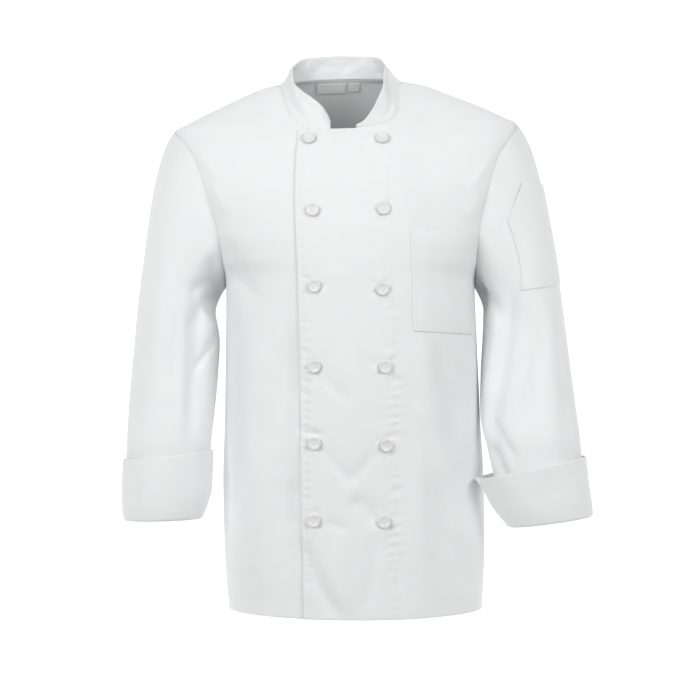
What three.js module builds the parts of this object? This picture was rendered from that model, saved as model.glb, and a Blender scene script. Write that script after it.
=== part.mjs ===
import * as THREE from "three";

// A chef jacket in white cotton twill, filled out as it is worn and empty inside: long sleeves with
// turned-back cuffs, a double-breasted front with two rows of buttons and a stand-up collar.
// Millimetres, +Z up. The front faces -Y and the wearer's left is +X. The origin lies midway between
// the two high shoulder points, where the wearer's neck and shoulders hold the jacket up.

// Cloth and seams
const CLOTH = 1.6; // wall of the twill, with its hems and seam allowances
const COLLAR_CLOTH = 2.4; // two layers of twill and the interlining between them
const CUFF_CLOTH = 2.2; // the turned-back sleeve end, hemmed double
const SEAM = 0.4; // gap between two pieces at a seam
const LAP = 2.8; // how far the overlapping front stands out from the front under it
const PATCH = 1.2; // how far a pocket's underside stands off the panel that it is sewn to

// Heights that the body's grids are built on
const HEM_Z = -783;
const HEM_DIP = 4; // the hem hangs lower at the centre front and centre back than at the sides
const UNDERARM_Z = -305;
const TIP_Z = -66; // the shoulder tip, where the sleeve head starts
const FULLNESS = 0.85; // below 1 the sections are fuller than an ellipse
const FOLD_CALM = 0.9; // share of the half width where the folds start to fade towards the side seam
const FOLD_START = 0.15; // share of a fold's length over which it begins, before its first point
const FOLD_RISE = 0.25; // share of its length after that point until it is full

// The body's sections, one row for each height. half is the half width to the side seam, the
// armhole or the shoulder seam, front and back the depth at the centre, edge the depth that the
// armhole keeps, turn the angle that a section turns through, and rise how much higher the back lies.
const BODY = [
  { z: 0, half: 90.5, front: 8, back: 72, edge: 0, turn: 90, rise: 15 },
  { z: -3, half: 112, front: 12, back: 76, edge: 0, turn: 90, rise: 15 },
  { z: -9, half: 132, front: 20, back: 81, edge: 0, turn: 90, rise: 14 },
  { z: -21, half: 161, front: 34, back: 89, edge: 0, turn: 90, rise: 13 },
  { z: -39, half: 203, front: 50, back: 97, edge: 0, turn: 90, rise: 12 },
  { z: -57, half: 240, front: 65, back: 103, edge: 0, turn: 90, rise: 10 },
  { z: -66, half: 256, front: 73, back: 106, edge: 0, turn: 90, rise: 9 },
  { z: -90, half: 240, front: 91, back: 111, edge: 40, turn: 76, rise: 7 },
  { z: -120, half: 222, front: 106, back: 116, edge: 62, turn: 66, rise: 5 },
  { z: -170, half: 206, front: 123, back: 120, edge: 78, turn: 60, rise: 2 },
  { z: -225, half: 192, front: 133, back: 121, edge: 78, turn: 60, rise: 0 },
  { z: -268, half: 187, front: 137, back: 120, edge: 58, turn: 68, rise: 0 },
  { z: -305, half: 186, front: 138, back: 118, edge: 0, turn: 90, rise: 0 },
  { z: -400, half: 188, front: 138, back: 113, edge: 0, turn: 90, rise: 0 },
  { z: -500, half: 191, front: 137, back: 112, edge: 0, turn: 90, rise: 0 },
  { z: -600, half: 195, front: 136, back: 115, edge: 0, turn: 90, rise: 0 },
  { z: -700, half: 194, front: 136, back: 118, edge: 0, turn: 90, rise: 0 },
  { z: -790, half: 189, front: 132, back: 119, edge: 0, turn: 90, rise: 0 },
];

// How the jacket hangs: sway moves a section sideways, tilt raises its left side and twist turns it.
const STANCE = [
  { z: 0, sway: -4, tilt: 0.03, twist: 0.06 },
  { z: -70, sway: 4, tilt: 0.02, twist: 0.06 },
  { z: -120, sway: 4, tilt: 0.018, twist: 0.02 },
  { z: -200, sway: 6, tilt: 0.01, twist: 0 },
  { z: -300, sway: 10, tilt: 0, twist: 0 },
  { z: -400, sway: 12, tilt: 0, twist: 0 },
  { z: -600, sway: 15, tilt: 0, twist: 0 },
  { z: -790, sway: 18, tilt: 0, twist: 0 },
];

// The front neck seam, from the centre front (0 degrees) round to the high shoulder point (90).
// The wearer's right half is squarer, where the collar's end goes in under the overlap.
const NECK = {
  left: [
    { turn: 0, x: 0, z: -73.5 },
    { turn: 14, x: 20, z: -72.5 },
    { turn: 26, x: 36, z: -70 },
    { turn: 37, x: 51.5, z: -66.5 },
    { turn: 46, x: 63.5, z: -61 },
    { turn: 54, x: 71.5, z: -53.5 },
    { turn: 65, x: 78, z: -37 },
    { turn: 76, x: 82, z: -18 },
    { turn: 82, x: 85, z: -9 },
    { turn: 90, x: 90.5, z: 0 },
  ],
  right: [
    { turn: 0, x: 0, z: -79 },
    { turn: 14, x: 28, z: -78.5 },
    { turn: 26, x: 47, z: -76.5 },
    { turn: 37, x: 62, z: -72.5 },
    { turn: 46, x: 73.5, z: -66 },
    { turn: 54, x: 82, z: -57 },
    { turn: 65, x: 88.5, z: -40 },
    { turn: 76, x: 90, z: -20 },
    { turn: 82, x: 90.3, z: -10 },
    { turn: 90, x: 90.5, z: 0 },
  ],
};

// The collar's top edge against its seam: rise upwards, lean inwards and aft towards the back.
const COLLAR = {
  left: [
    { turn: 6, rise: 3, lean: -1, aft: -1.5 },
    { turn: 14, rise: 7, lean: 1, aft: -1 },
    { turn: 26, rise: 16.5, lean: 6.5, aft: 0 },
    { turn: 37, rise: 25, lean: 14, aft: 3 },
    { turn: 46, rise: 31.5, lean: 20, aft: 7 },
    { turn: 54, rise: 35.5, lean: 22.5, aft: 11 },
    { turn: 65, rise: 33, lean: 22.5, aft: 13 },
    { turn: 78, rise: 27, lean: 21, aft: 12 },
    { turn: 90, rise: 25.5, lean: 22.5, aft: 12 },
    { turn: 110, rise: 28, lean: 17.5, aft: 7 },
    { turn: 135, rise: 33.5, lean: 6, aft: 3 },
    { turn: 180, rise: 35.3, lean: 0, aft: -2 },
  ],
  right: [
    { turn: 14, rise: 17, lean: 0.5, aft: 15.5 },
    { turn: 20, rise: 26.5, lean: 5.5, aft: 16 },
    { turn: 26, rise: 34, lean: 9, aft: 14 },
    { turn: 37, rise: 40.5, lean: 13.5, aft: 11.5 },
    { turn: 46, rise: 42.5, lean: 14.5, aft: 11 },
    { turn: 54, rise: 42.5, lean: 12.5, aft: 12 },
    { turn: 65, rise: 38.5, lean: 10.5, aft: 14 },
    { turn: 78, rise: 30.5, lean: 13, aft: 12 },
    { turn: 90, rise: 28, lean: 16.5, aft: 12 },
    { turn: 110, rise: 29, lean: 15.5, aft: 7 },
    { turn: 135, rise: 35, lean: 10, aft: 3 },
    { turn: 180, rise: 35.3, lean: 0, aft: -2 },
  ],
};
const COLLAR_BULGE = 2.5; // the band is this much rounder at half its height
const COLLAR_FULL_RISE = 30; // height of the band from which it bulges fully
const COLLAR_ROWS = 4;

// The overlap: where the fronts end, across from the body's centre line
const OVERLAP_EDGE = -75; // free edge of the wearer's left front, which lies on top
const UNDERLAP_EDGE = 65; // free edge of the wearer's right front, under it
const COLLAR_END = { left: 10, right: 28 }; // the collar stops this far from the centre front
const OVERLAP_TOP = { end: -74.2, corner: -75 }; // top edge of the overlap, at the collar and corner
const UNDERLAP_TOP = { end: -82, corner: -86 };
// Beyond the underlap the top front comes down again, across and up to the shoulder
const LAP_FADE = { from: 90, to: 130, neck: -58, shoulder: -15 };

// Panel grids
const LOWER_ROWS = 13; // from the hem to the underarm
const UPPER_ROWS = 10; // from the underarm to the shoulder
const SHOULDER_COLUMNS = 6; // along one shoulder seam
const NECK_COLUMNS = 4; // from a high shoulder point to the overlap
const BACK_NECK_COLUMNS = 12;
const LAP_COLUMNS = { overlap: 3, middle: 2, underlap: 3 }; // steps across the two laps

// Largest folds of the body: a line across (x) and down (z), the fold's width and how far it
// stands out (negative for a trough).
const FRONT_FOLDS = [
  { x1: -84, z1: -385, x2: -131, z2: -560, width: 22, out: -5 },
  { x1: -92, z1: -590, x2: -93, z2: -660, width: 16, out: -4 },
  { x1: -150, z1: -420, x2: -160, z2: -720, width: 20, out: 3 },
  { x1: 106, z1: -380, x2: 120, z2: -531, width: 18, out: 4 },
  { x1: 120, z1: -531, x2: 168, z2: -690, width: 18, out: 4 },
  { x1: 126, z1: -395, x2: 157, z2: -510, width: 15, out: -4 },
  { x1: 20, z1: -560, x2: 60, z2: -760, width: 26, out: -3 },
];
const BACK_FOLDS = [
  { x1: -60, z1: -250, x2: -95, z2: -760, width: 28, out: 5 },
  { x1: 75, z1: -300, x2: 112, z2: -770, width: 28, out: 5 },
  { x1: 0, z1: -220, x2: 12, z2: -780, width: 34, out: -5 },
];

// Sleeve sections from the upper arm to the turned-back end. Each is an oval between an outer and
// an inner edge point, seen from the front, with its middle at y and half its depth in deep.
const RIGHT_SLEEVE = [
  { outX: -298, outZ: -249, inX: -191, inZ: -347, y: 0, deep: 74 },
  { outX: -307, outZ: -324, inX: -185, inZ: -388, y: -5, deep: 69 },
  { outX: -313, outZ: -399, inX: -187, inZ: -430, y: -14, deep: 62 },
  { outX: -318, outZ: -473, inX: -190, inZ: -476, y: -30, deep: 56 },
  { outX: -320, outZ: -546, inX: -195, inZ: -538, y: -51, deep: 49 },
  { outX: -320.5, outZ: -605, inX: -199, inZ: -600, y: -57, deep: 45 },
  { outX: -319.5, outZ: -645, inX: -211.5, inZ: -642, y: -59, deep: 39.5 },
];
const LEFT_SLEEVE = [
  { outX: 314, outZ: -249, inX: 210, inZ: -345, y: 0, deep: 74 },
  { outX: 326, outZ: -324, inX: 208, inZ: -388, y: -9, deep: 69 },
  { outX: 335, outZ: -399, inX: 205, inZ: -432, y: -24, deep: 63 },
  { outX: 343, outZ: -473, inX: 203, inZ: -494, y: -46, deep: 56 },
  { outX: 348.5, outZ: -531, inX: 212, inZ: -546, y: -69, deep: 48 },
  { outX: 354, outZ: -600, inX: 229, inZ: -612, y: -77, deep: 44 },
  { outX: 360.5, outZ: -637, inX: 244.5, inZ: -653.5, y: -79, deep: 37 },
];
const RIGHT_CUFF = [
  { drop: 0, outX: -325.5, outZ: -560, inX: -192, inZ: -546, y: -54, deep: 54 },
  { drop: 0.5, outX: -326.5, outZ: -605, inX: -193, inZ: -600, y: -57, deep: 52 },
  { drop: 0.8, outX: -326, outZ: -631, inX: -200, inZ: -627, y: -58.5, deep: 49 },
  { drop: 1, outX: -324, outZ: -648, inX: -207, inZ: -645, y: -59, deep: 44 },
];
const LEFT_CUFF = [
  { drop: 0, outX: 355, outZ: -553, inX: 192, inZ: -587, y: -76.5, deep: 59 },
  { drop: 0.4, outX: 359, outZ: -591, inX: 206, inZ: -608, y: -78, deep: 53 },
  { drop: 0.75, outX: 363.5, outZ: -622, inX: 222, inZ: -635, y: -79, deep: 48 },
  { drop: 1, outX: 365, outZ: -640, inX: 240, inZ: -657, y: -79, deep: 42 },
];
const CAP_ROWS = 6; // rows of the sleeve head, from the armhole to the upper arm
const ARM_ROWS = 12;
const ARM_COLUMNS = 2 * UPPER_ROWS; // round the arm, one for each point of the armhole
const ARMHOLE_GAP = 0.8; // the sleeve starts this far outside the armhole
const HEAD_SLOPE = { underarm: 62, tip: 45 }; // degrees down that the sleeve leaves the armhole
const HEAD_PULL = 0.22; // share of its span that the sleeve head keeps the armhole's direction
const ARM_PULL = 0.33; // and the share over which it takes up the arm's
const HEAD_SQUARE = 2; // how quickly the head's wall turns from the body's wall to its own
const ARM_SCALE = 1.15; // millimetres of sleeve for each degree round the arm
const CUFF_COLUMNS = 24;
const CUFF_LIP = 7; // the fold at the cuff's end turns this far in under the sleeve
const CUFF_ROUND = 1.4; // rounding of that fold
const CUFF_TAPER = 0.4; // the band's inner face draws in this much at the fold
const CUFF_STEPS = [0.33, 0.66]; // shares of the band's height with a ring of their own
const CUFF_FOLD_START = 0.965; // share of its height where the fold starts

// Largest folds of the sleeves: degrees round the arm from its outer side to the front, and height.
const RIGHT_SLEEVE_FOLDS = [
  { turn1: 122, z1: -262, turn2: 162, z2: -352, width: 15, out: -9 },
  { turn1: 60, z1: -300, turn2: 80, z2: -520, width: 22, out: 3 },
];
const LEFT_SLEEVE_FOLDS = [
  { turn1: 150, z1: -275, turn2: 172, z2: -340, width: 13, out: -7 },
  { turn1: 100, z1: -310, turn2: 137, z2: -473, width: 17, out: -8 },
  { turn1: 137, z1: -473, turn2: 160, z2: -570, width: 17, out: -6 },
  { turn1: 55, z1: -320, turn2: 70, z2: -540, width: 20, out: 4 },
];

// Pockets: the chest pocket by its left and right edges across and its top and bottom heights. The
// sleeve pocket goes by degrees round the arm and heights, and its opening slants down to the front.
const CHEST_POCKET = { left: 88, rightTop: 180, rightBottom: 176, top: -227, bottom: -371, slope: 5 };
const CHEST_POCKET_GRID = 9;
const SLEEVE_POCKET = {
  topTurn: 82, // front edge at the opening
  bottomTurn: 93, // front edge at the bottom
  backTurn: -4,
  frontTop: -210,
  backTop: -152,
  slant: 0.38, // share of the width over which the opening slants
  frontBottom: -311,
  backBottom: -299,
};
const SLEEVE_POCKET_GRID = 10;

const LABEL_CLOTH = 0.8; // woven satin, folded in two
// Labels inside the back neck, blank: across from the centre line, from the neck seam down, and
// drop from the back's inner face to the label's near side
const LABELS = {
  label: { left: -33, right: 12, top: -4, bottom: -17, drop: 3 },
  size_label: { left: 16, right: 34, top: -4, bottom: -15, drop: 2.2 },
};
const LABEL_GRID = { columns: 4, rows: 2 };

// Buttons
// The two columns, from the top: across from the centre line, and height
const BUTTONS = {
  right: [
    { x: -58.7, z: -89.5 },
    { x: -50, z: -196.5 },
    { x: -51.6, z: -306.5 },
    { x: -53.5, z: -422 },
    { x: -55.2, z: -532.6 },
    { x: -57.1, z: -644 },
  ],
  left: [
    { x: 47.6, z: -91 },
    { x: 50.7, z: -195.4 },
    { x: 44.7, z: -310.8 },
    { x: 46.1, z: -422.7 },
    { x: 46.7, z: -535.4 },
    { x: 42.8, z: -645.2 },
  ],
};
const BUTTON_RADIUS = 9.4;
const BUTTON_SEAT = 0.7; // thread shank that shows between the button and the cloth
const BUTTON_SIDES = 14;
const BUTTON_SPAN = 4; // the cloth's slope under a button is taken this far each side of it
const BUTTON_PROFILE = [
  { share: 0, height: 0 },
  { share: 0.86, height: 0 },
  { share: 1, height: 1.1 },
  { share: 1, height: 2.7 },
  { share: 0.9, height: 3.7 },
  { share: 0.66, height: 3.5 },
  { share: 0.5, height: 2.7 },
  { share: 0, height: 2.5 },
];

const FRONT = -1;
const BACK = 1;
const radians = THREE.MathUtils.degToRad;
const { clamp, euclideanModulo, lerp, smoothstep } = THREE.MathUtils;

// A smooth curve through one column of a table: monotone cubic pieces, level beyond both ends.
function curve(rows, key, column) {
  const order = [...rows].sort((a, b) => a[key] - b[key]);
  const at = order.map((row) => row[key]);
  const value = order.map((row) => row[column]);
  const last = at.length - 1;
  const step = at.slice(1).map((end, i) => (value[i + 1] - value[i]) / (end - at[i]));
  const slope = value.map((_, i) => {
    if (i === 0 || i === last) return i === 0 ? step[0] : step[last - 1];
    const product = step[i - 1] * step[i];
    return product <= 0 ? 0 : (2 * product) / (step[i - 1] + step[i]);
  });
  return (place) => {
    if (place <= at[0]) return value[0];
    if (place >= at[last]) return value[last];
    const i = at.findIndex((end) => end > place) - 1;
    const width = at[i + 1] - at[i];
    const u = (place - at[i]) / width;
    const ease = u * u * (3 - 2 * u);
    const start = u * (1 - u) * (1 - u) * width * slope[i];
    const end = u * u * (u - 1) * width * slope[i + 1];
    return value[i] + ease * (value[i + 1] - value[i]) + start + end;
  };
}

// All columns of a table as one function of its key column.
function sections(rows, key) {
  const columns = Object.keys(rows[0]).filter((name) => name !== key);
  const curves = columns.map((name) => [name, curve(rows, key, name)]);
  return (place) => Object.fromEntries(curves.map(([name, at]) => [name, at(place)]));
}

const body = sections(BODY, "z");
const stance = sections(STANCE, "z");
const sideOf = (side) => (side > 0 ? "left" : "right");
const necks = { left: sections(NECK.left, "turn"), right: sections(NECK.right, "turn") };
const collarTops = { left: sections(COLLAR.left, "turn"), right: sections(COLLAR.right, "turn") };
const neck = (side, turn) => necks[sideOf(side)](turn);
const collarTop = (side, turn) => collarTops[sideOf(side)](turn);

// Puts a point of the upright, symmetric jacket where the jacket hangs.
function hang(x, y, z) {
  const { sway, tilt, twist } = stance(z);
  return new THREE.Vector3(x + sway - twist * y, y, z + tilt * x);
}

// How far a list of folds moves the cloth out at a place on it.
function foldsAt(folds, across, down) {
  let out = 0;
  for (const fold of folds) {
    const run = new THREE.Vector2(fold.x2 - fold.x1, fold.z2 - fold.z1);
    const from = new THREE.Vector2(across - fold.x1, down - fold.z1);
    const along = from.dot(run) / run.lengthSq();
    const aside = Math.abs(from.cross(run)) / run.length();
    const begun = smoothstep(along, -FOLD_START, FOLD_RISE);
    const ends = begun * (1 - smoothstep(along, 1 - FOLD_RISE, 1 + FOLD_START));
    out += fold.out * ends * Math.exp(-((aside / fold.width) ** 2));
  }
  return out;
}

// A point on the front or back of the body, across (x) and up (z), moved out of it by some cloth.
function bodyPoint(face, x, z, out = 0) {
  const row = body(z);
  const turn = radians(row.turn);
  const sine = clamp(x / row.half, -1, 1) * Math.sin(turn);
  const round = (Math.sqrt(1 - sine * sine) - Math.cos(turn)) / (1 - Math.cos(turn));
  const deep = face === FRONT ? row.front : row.back;
  const depth = row.edge + (deep - row.edge) * Math.max(round, 0) ** FULLNESS;
  const lift = face === BACK ? (row.rise * depth) / deep : 0;
  const y = face * (depth + SEAM / 2);
  const away = new THREE.Vector2(x / row.half ** 2, y / deep ** 2).normalize();
  const folds = foldsAt(face === FRONT ? FRONT_FOLDS : BACK_FOLDS, x, z);
  const calm = 1 - smoothstep(Math.abs(x) / row.half, FOLD_CALM, 1);
  const moved = out + folds * calm;
  return hang(x + away.x * moved, y + away.y * moved, z + lift);
}

// How far the overlapping front stands out at a place on it.
function lapAt(x, z) {
  const across = 1 - smoothstep(x, LAP_FADE.from, LAP_FADE.to);
  return LAP * across * (1 - smoothstep(z, LAP_FADE.neck, LAP_FADE.shoulder));
}

// Heights of one column's points, from the hem to the top of that column.
function columnHeights(top, dip) {
  const lower = [];
  for (let i = 0; i < LOWER_ROWS; i++) lower.push(lerp(HEM_Z - dip, UNDERARM_Z, i / LOWER_ROWS));
  for (let i = 0; i <= UPPER_ROWS; i++) {
    const share = (1 - Math.cos((Math.PI * i) / UPPER_ROWS)) / 2;
    lower.push(lerp(UNDERARM_Z, top, share));
  }
  return lower;
}

// Where a function that rises from low to high reaches a value.
function solve(rising, value, low, high) {
  for (let i = 0; i < 40; i++) {
    const middle = (low + high) / 2;
    if (rising(middle) < value) low = middle;
    else high = middle;
  }
  return low;
}

// The angle of a side's neck seam where it lies a distance across from the centre front.
const neckTurnAt = (side, x) => solve((turn) => neck(side, turn).x, x, 0, 90);

// Where each column of a shoulder ends, from the shoulder tip up to the high shoulder point.
function shoulderTops() {
  const tops = [];
  for (let i = 0; i < SHOULDER_COLUMNS; i++) {
    const x = lerp(body(TIP_Z).half, body(0).half, i / SHOULDER_COLUMNS);
    const z = -solve((drop) => body(-drop).half, x, 0, -TIP_Z);
    tops.push({ x: body(z).half, z });
  }
  return tops;
}

// Where each column of a front's side ends at the top: the shoulder seam, then the neck seam.
function sideTops(side, inner) {
  const tops = shoulderTops();
  const end = neckTurnAt(side, inner);
  for (let i = 0; i < NECK_COLUMNS; i++) tops.push(neck(side, lerp(90, end, i / NECK_COLUMNS)));
  return tops;
}

// One column of a body panel. top is where it ends; ease runs from 0 at the side seam or armhole to
// 1 at the panel's innermost column, which stands at inner and keeps its place across.
function bodyColumn(face, side, top, ease, inner, outAt) {
  const full = Math.asin(clamp(inner / body(UNDERARM_Z).half, -1, 1));
  const angle = lerp(Math.PI / 2, full, ease);
  const dip = HEM_DIP * Math.cos(angle) ** 2;
  return columnHeights(top.z, dip).map((z, row) => {
    const share = Math.max(row - LOWER_ROWS, 0) / UPPER_ROWS;
    const lifted = (1 - Math.cos(Math.PI * share)) / 2;
    const edgeZ = lerp(UNDERARM_Z, TIP_Z, lifted);
    const level = row < LOWER_ROWS ? z : UNDERARM_Z;
    const innerAt = Math.asin(clamp(inner / body(level).half, -1, 1));
    const straight = body(level).half * Math.sin(lerp(Math.PI / 2, innerAt, ease));
    const blended = lerp(straight, top.x, lifted);
    const edge = lerp(body(UNDERARM_Z).half, body(TIP_Z).half, lifted);
    const pull = row > LOWER_ROWS ? body(edgeZ).half - edge : 0;
    const reach = clamp((blended - inner) / (edge - inner), 0, 1);
    const x = side * Math.min(blended + pull * reach ** 2, body(z).half);
    return bodyPoint(face, x, z, outAt(x, z));
  });
}

// A column of the lap, straight up from the hem.
function lapColumn(x, topZ, out) {
  const dip = HEM_DIP * (1 - (x / body(HEM_Z).half) ** 2);
  return columnHeights(topZ, dip).map((z) => bodyPoint(FRONT, x, z, out));
}

// Columns become rows, bottom first.
const rowsOf = (columns) => columns[0].map((_, row) => columns.map((column) => column[row]));

// The wearer's left or right front, its columns running from the viewer's left to the right.
function frontGrid(side) {
  const inner = side > 0 ? UNDERLAP_EDGE : -OVERLAP_EDGE;
  const outAt = side > 0 ? lapAt : () => 0;
  const tops = sideTops(side, inner);
  const sideColumns = tops.map((top, i) =>
    bodyColumn(FRONT, side, top, i / tops.length, inner, outAt),
  );
  const edges = lapPlaces();
  const lap = (side > 0 ? [...edges].reverse() : edges).map((x) =>
    lapColumn(x, lapTop(side, x), side > 0 ? LAP : 0),
  );
  const columns = [...sideColumns, ...lap];
  return rowsOf(side > 0 ? columns.reverse() : columns);
}

// Places across of the columns that the two fronts share.
function lapPlaces() {
  const { overlap, middle, underlap } = LAP_COLUMNS;
  const places = [];
  const { left, right } = COLLAR_END;
  for (let i = 0; i < overlap; i++) places.push(lerp(OVERLAP_EDGE, -right, i / overlap));
  for (let i = 0; i < middle; i++) places.push(lerp(-right, left, i / middle));
  for (let i = 0; i <= underlap; i++) places.push(lerp(left, UNDERLAP_EDGE, i / underlap));
  return places;
}

// Top of a lap column: the neck seam on the front's own side, then the free top edge.
function lapTop(side, x) {
  const start = side * COLLAR_END[sideOf(side)];
  if (side * (x - start) >= -0.01) return neck(side, neckTurnAt(side, Math.abs(x))).z;
  const { end, corner } = side > 0 ? OVERLAP_TOP : UNDERLAP_TOP;
  const far = side > 0 ? OVERLAP_EDGE : UNDERLAP_EDGE;
  return lerp(end, corner, (start - x) / (start - far));
}

// The back, its columns running from the wearer's left to the right as seen from behind.
function backGrid() {
  const halfColumns = SHOULDER_COLUMNS + BACK_NECK_COLUMNS / 2;
  const tops = shoulderTops();
  for (let i = 0; i <= BACK_NECK_COLUMNS / 2; i++) {
    const angle = (Math.PI / 2) * (1 - i / (BACK_NECK_COLUMNS / 2));
    tops.push({ x: body(0).half * Math.sin(angle), z: 0 });
  }
  const half = (side) =>
    tops.map((top, i) => bodyColumn(BACK, side, top, i / halfColumns, 0, () => 0));
  return rowsOf([...half(1), ...half(-1).reverse().slice(1)]);
}

// The normals of a grid's outer face, from its neighbours along both ways.
function gridNormals(grid, around = false) {
  const top = grid.length - 1;
  const end = grid[0].length - 1;
  const beside = (j, step) => {
    if (around) return (j + step + end + 1) % (end + 1);
    return clamp(j + step, 0, end);
  };
  return grid.map((row, i) =>
    row.map((_, j) => {
      const across = row[beside(j, 1)].clone().sub(row[beside(j, -1)]);
      const up = grid[Math.min(i + 1, top)][j].clone().sub(grid[Math.max(i - 1, 0)][j]);
      return across.cross(up).normalize();
    }),
  );
}

// A closed solid from two faces of a grid. A grid that goes all round has rims only at its ends.
function solid(outer, inner, around = false) {
  const rows = outer.length;
  const columns = outer[0].length;
  const points = [...outer.flat(), ...inner.flat()];
  const faces = [];
  const at = (layer, i, j) => layer * rows * columns + i * columns + (j % columns);
  const quad = (a, b, c, d) => faces.push(a, b, c, a, c, d);
  const last = around ? columns : columns - 1;
  for (let i = 0; i < rows - 1; i++)
    for (let j = 0; j < last; j++) {
      quad(at(0, i, j), at(0, i, j + 1), at(0, i + 1, j + 1), at(0, i + 1, j));
      quad(at(1, i, j), at(1, i + 1, j), at(1, i + 1, j + 1), at(1, i, j + 1));
    }
  for (let j = 0; j < last; j++) {
    quad(at(0, 0, j), at(1, 0, j), at(1, 0, j + 1), at(0, 0, j + 1));
    const top = rows - 1;
    quad(at(0, top, j), at(0, top, j + 1), at(1, top, j + 1), at(1, top, j));
  }
  if (!around)
    for (let i = 0; i < rows - 1; i++) {
      const end = columns - 1;
      quad(at(0, i, 0), at(0, i + 1, 0), at(1, i + 1, 0), at(1, i, 0));
      quad(at(0, i, end), at(1, i, end), at(1, i + 1, end), at(0, i + 1, end));
    }
  return geometryOf(points, faces);
}

function geometryOf(points, faces) {
  const geometry = new THREE.BufferGeometry().setFromPoints(points);
  geometry.setIndex(faces);
  geometry.computeVertexNormals();
  return geometry;
}

// The grid's points moved along their normals.
const moved = (grid, normals, by) =>
  grid.map((row, i) => row.map((point, j) => point.clone().addScaledVector(normals[i][j], by)));

// A wall of cloth inside a grid of outer points.
function wall(grid, thick, normals, around = false) {
  return solid(grid, moved(grid, normals, -thick), around);
}

// Normals of a body panel, kept in the seam's own plane at the side and shoulder seams, so that the
// walls of front and back end face to face.
function panelNormals(grid, seamColumns) {
  const normals = gridNormals(grid);
  const level = (normal) => normal.setY(0).normalize();
  for (const column of seamColumns) {
    for (let i = 0; i <= LOWER_ROWS; i++) level(normals[i][column]);
    level(normals.at(-1)[column]);
    const step = column === 0 ? 1 : -1;
    for (let i = 1; i <= SHOULDER_COLUMNS; i++) level(normals.at(-1)[column + step * i]);
  }
  return normals;
}

const grids = { left: frontGrid(1), right: frontGrid(-1), back: backGrid() };
const panels = {
  left: panelNormals(grids.left, [grids.left[0].length - 1]),
  right: panelNormals(grids.right, [0]),
  back: panelNormals(grids.back, [0, grids.back[0].length - 1]),
};

// The armhole's points and the body's normals there, from the shoulder tip down one face and up the
// other, the same way round as the sleeve's columns.
function armhole(side) {
  const front = side > 0 ? grids.left : grids.right;
  const frontNormals = side > 0 ? panels.left : panels.right;
  const frontColumn = side > 0 ? front[0].length - 1 : 0;
  const backColumn = side > 0 ? 0 : grids.back[0].length - 1;
  const top = LOWER_ROWS + UPPER_ROWS;
  const loop = [];
  for (let k = 0; k < ARM_COLUMNS; k++) {
    const row = k <= UPPER_ROWS ? top - k : LOWER_ROWS + k - UPPER_ROWS;
    const onBack = k < UPPER_ROWS ? side > 0 : side < 0;
    const point = onBack ? grids.back[row][backColumn] : front[row][frontColumn];
    const normal = onBack ? panels.back[row][backColumn] : frontNormals[row][frontColumn];
    const middle = k === 0 || k === UPPER_ROWS;
    loop.push({ point: middle ? point.clone().setY(0) : point.clone(), normal });
  }
  return loop;
}

// A point of an oval section, degrees round it from its outer edge, the same way for both sides.
function ovalPoint(side, row, angle, inset = 0) {
  const out = new THREE.Vector3(row.outX, row.y, row.outZ);
  const inside = new THREE.Vector3(row.inX, row.y, row.inZ);
  const middle = out.clone().add(inside).multiplyScalar(0.5);
  const half = out.sub(inside).multiplyScalar(0.5);
  half.setLength(half.length() - inset);
  middle.addScaledVector(half, Math.cos(angle));
  middle.y += side * Math.sin(angle) * (row.deep - inset);
  return middle;
}

// A sleeve: its head runs from the armhole to the upper arm on one cubic curve for each column, and
// the arm goes on through its sections.
function sleeveShape(side) {
  const rows = side > 0 ? LEFT_SLEEVE : RIGHT_SLEEVE;
  const folds = (side > 0 ? LEFT_SLEEVE_FOLDS : RIGHT_SLEEVE_FOLDS).map((fold) => ({
    ...fold,
    x1: fold.turn1 * ARM_SCALE,
    x2: fold.turn2 * ARM_SCALE,
  }));
  const along = sections(rows.map((row, step) => ({ step, ...row })), "step");
  const loop = armhole(side);
  const armPoint = (step, angle) => ovalPoint(side, along(step), angle);
  const loopPoint = (column) => loop[euclideanModulo(column, ARM_COLUMNS)].point;
  const loopAt = (column) => {
    const low = Math.floor(column);
    return loopPoint(low).clone().lerp(loopPoint(low + 1), column - low);
  };
  // Rows 0 to CAP_ROWS are the head, those after it the arm; columns may be fractions.
  const point = (row, column) => {
    const angle = (2 * Math.PI * column) / ARM_COLUMNS;
    const last = rows.length - 1;
    const plain =
      row >= CAP_ROWS
        ? armPoint((last * (row - CAP_ROWS)) / ARM_ROWS, angle)
        : headPoint(loopAt(column), angle, row / CAP_ROWS);
    const facing = euclideanModulo((-side * 360 * column) / ARM_COLUMNS, 360);
    const out = foldsAt(folds, facing * ARM_SCALE, plain.z);
    const radial = new THREE.Vector3(side * Math.cos(angle), side * Math.sin(angle), 0);
    return plain.addScaledVector(radial, out * smoothstep(row, 0.5, 2));
  };
  const headPoint = (start, angle, share) => {
    const end = armPoint(0, angle);
    const onward = armPoint(0.02, angle).sub(end).normalize();
    const height = (start.z - UNDERARM_Z) / (TIP_Z - UNDERARM_Z);
    const slope = radians(lerp(HEAD_SLOPE.underarm, HEAD_SLOPE.tip, clamp(height, 0, 1)));
    const outward = new THREE.Vector3(side * Math.cos(slope), 0, -Math.sin(slope));
    const span = start.distanceTo(end);
    const from = start.clone().addScaledVector(outward, ARMHOLE_GAP);
    const first = from.clone().addScaledVector(outward, span * HEAD_PULL);
    const second = end.clone().addScaledVector(onward, -span * ARM_PULL);
    return new THREE.CubicBezierCurve3(from, first, second, end).getPoint(share);
  };
  return { point, loop };
}

const sleeves = { left: sleeveShape(1), right: sleeveShape(-1) };

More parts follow.
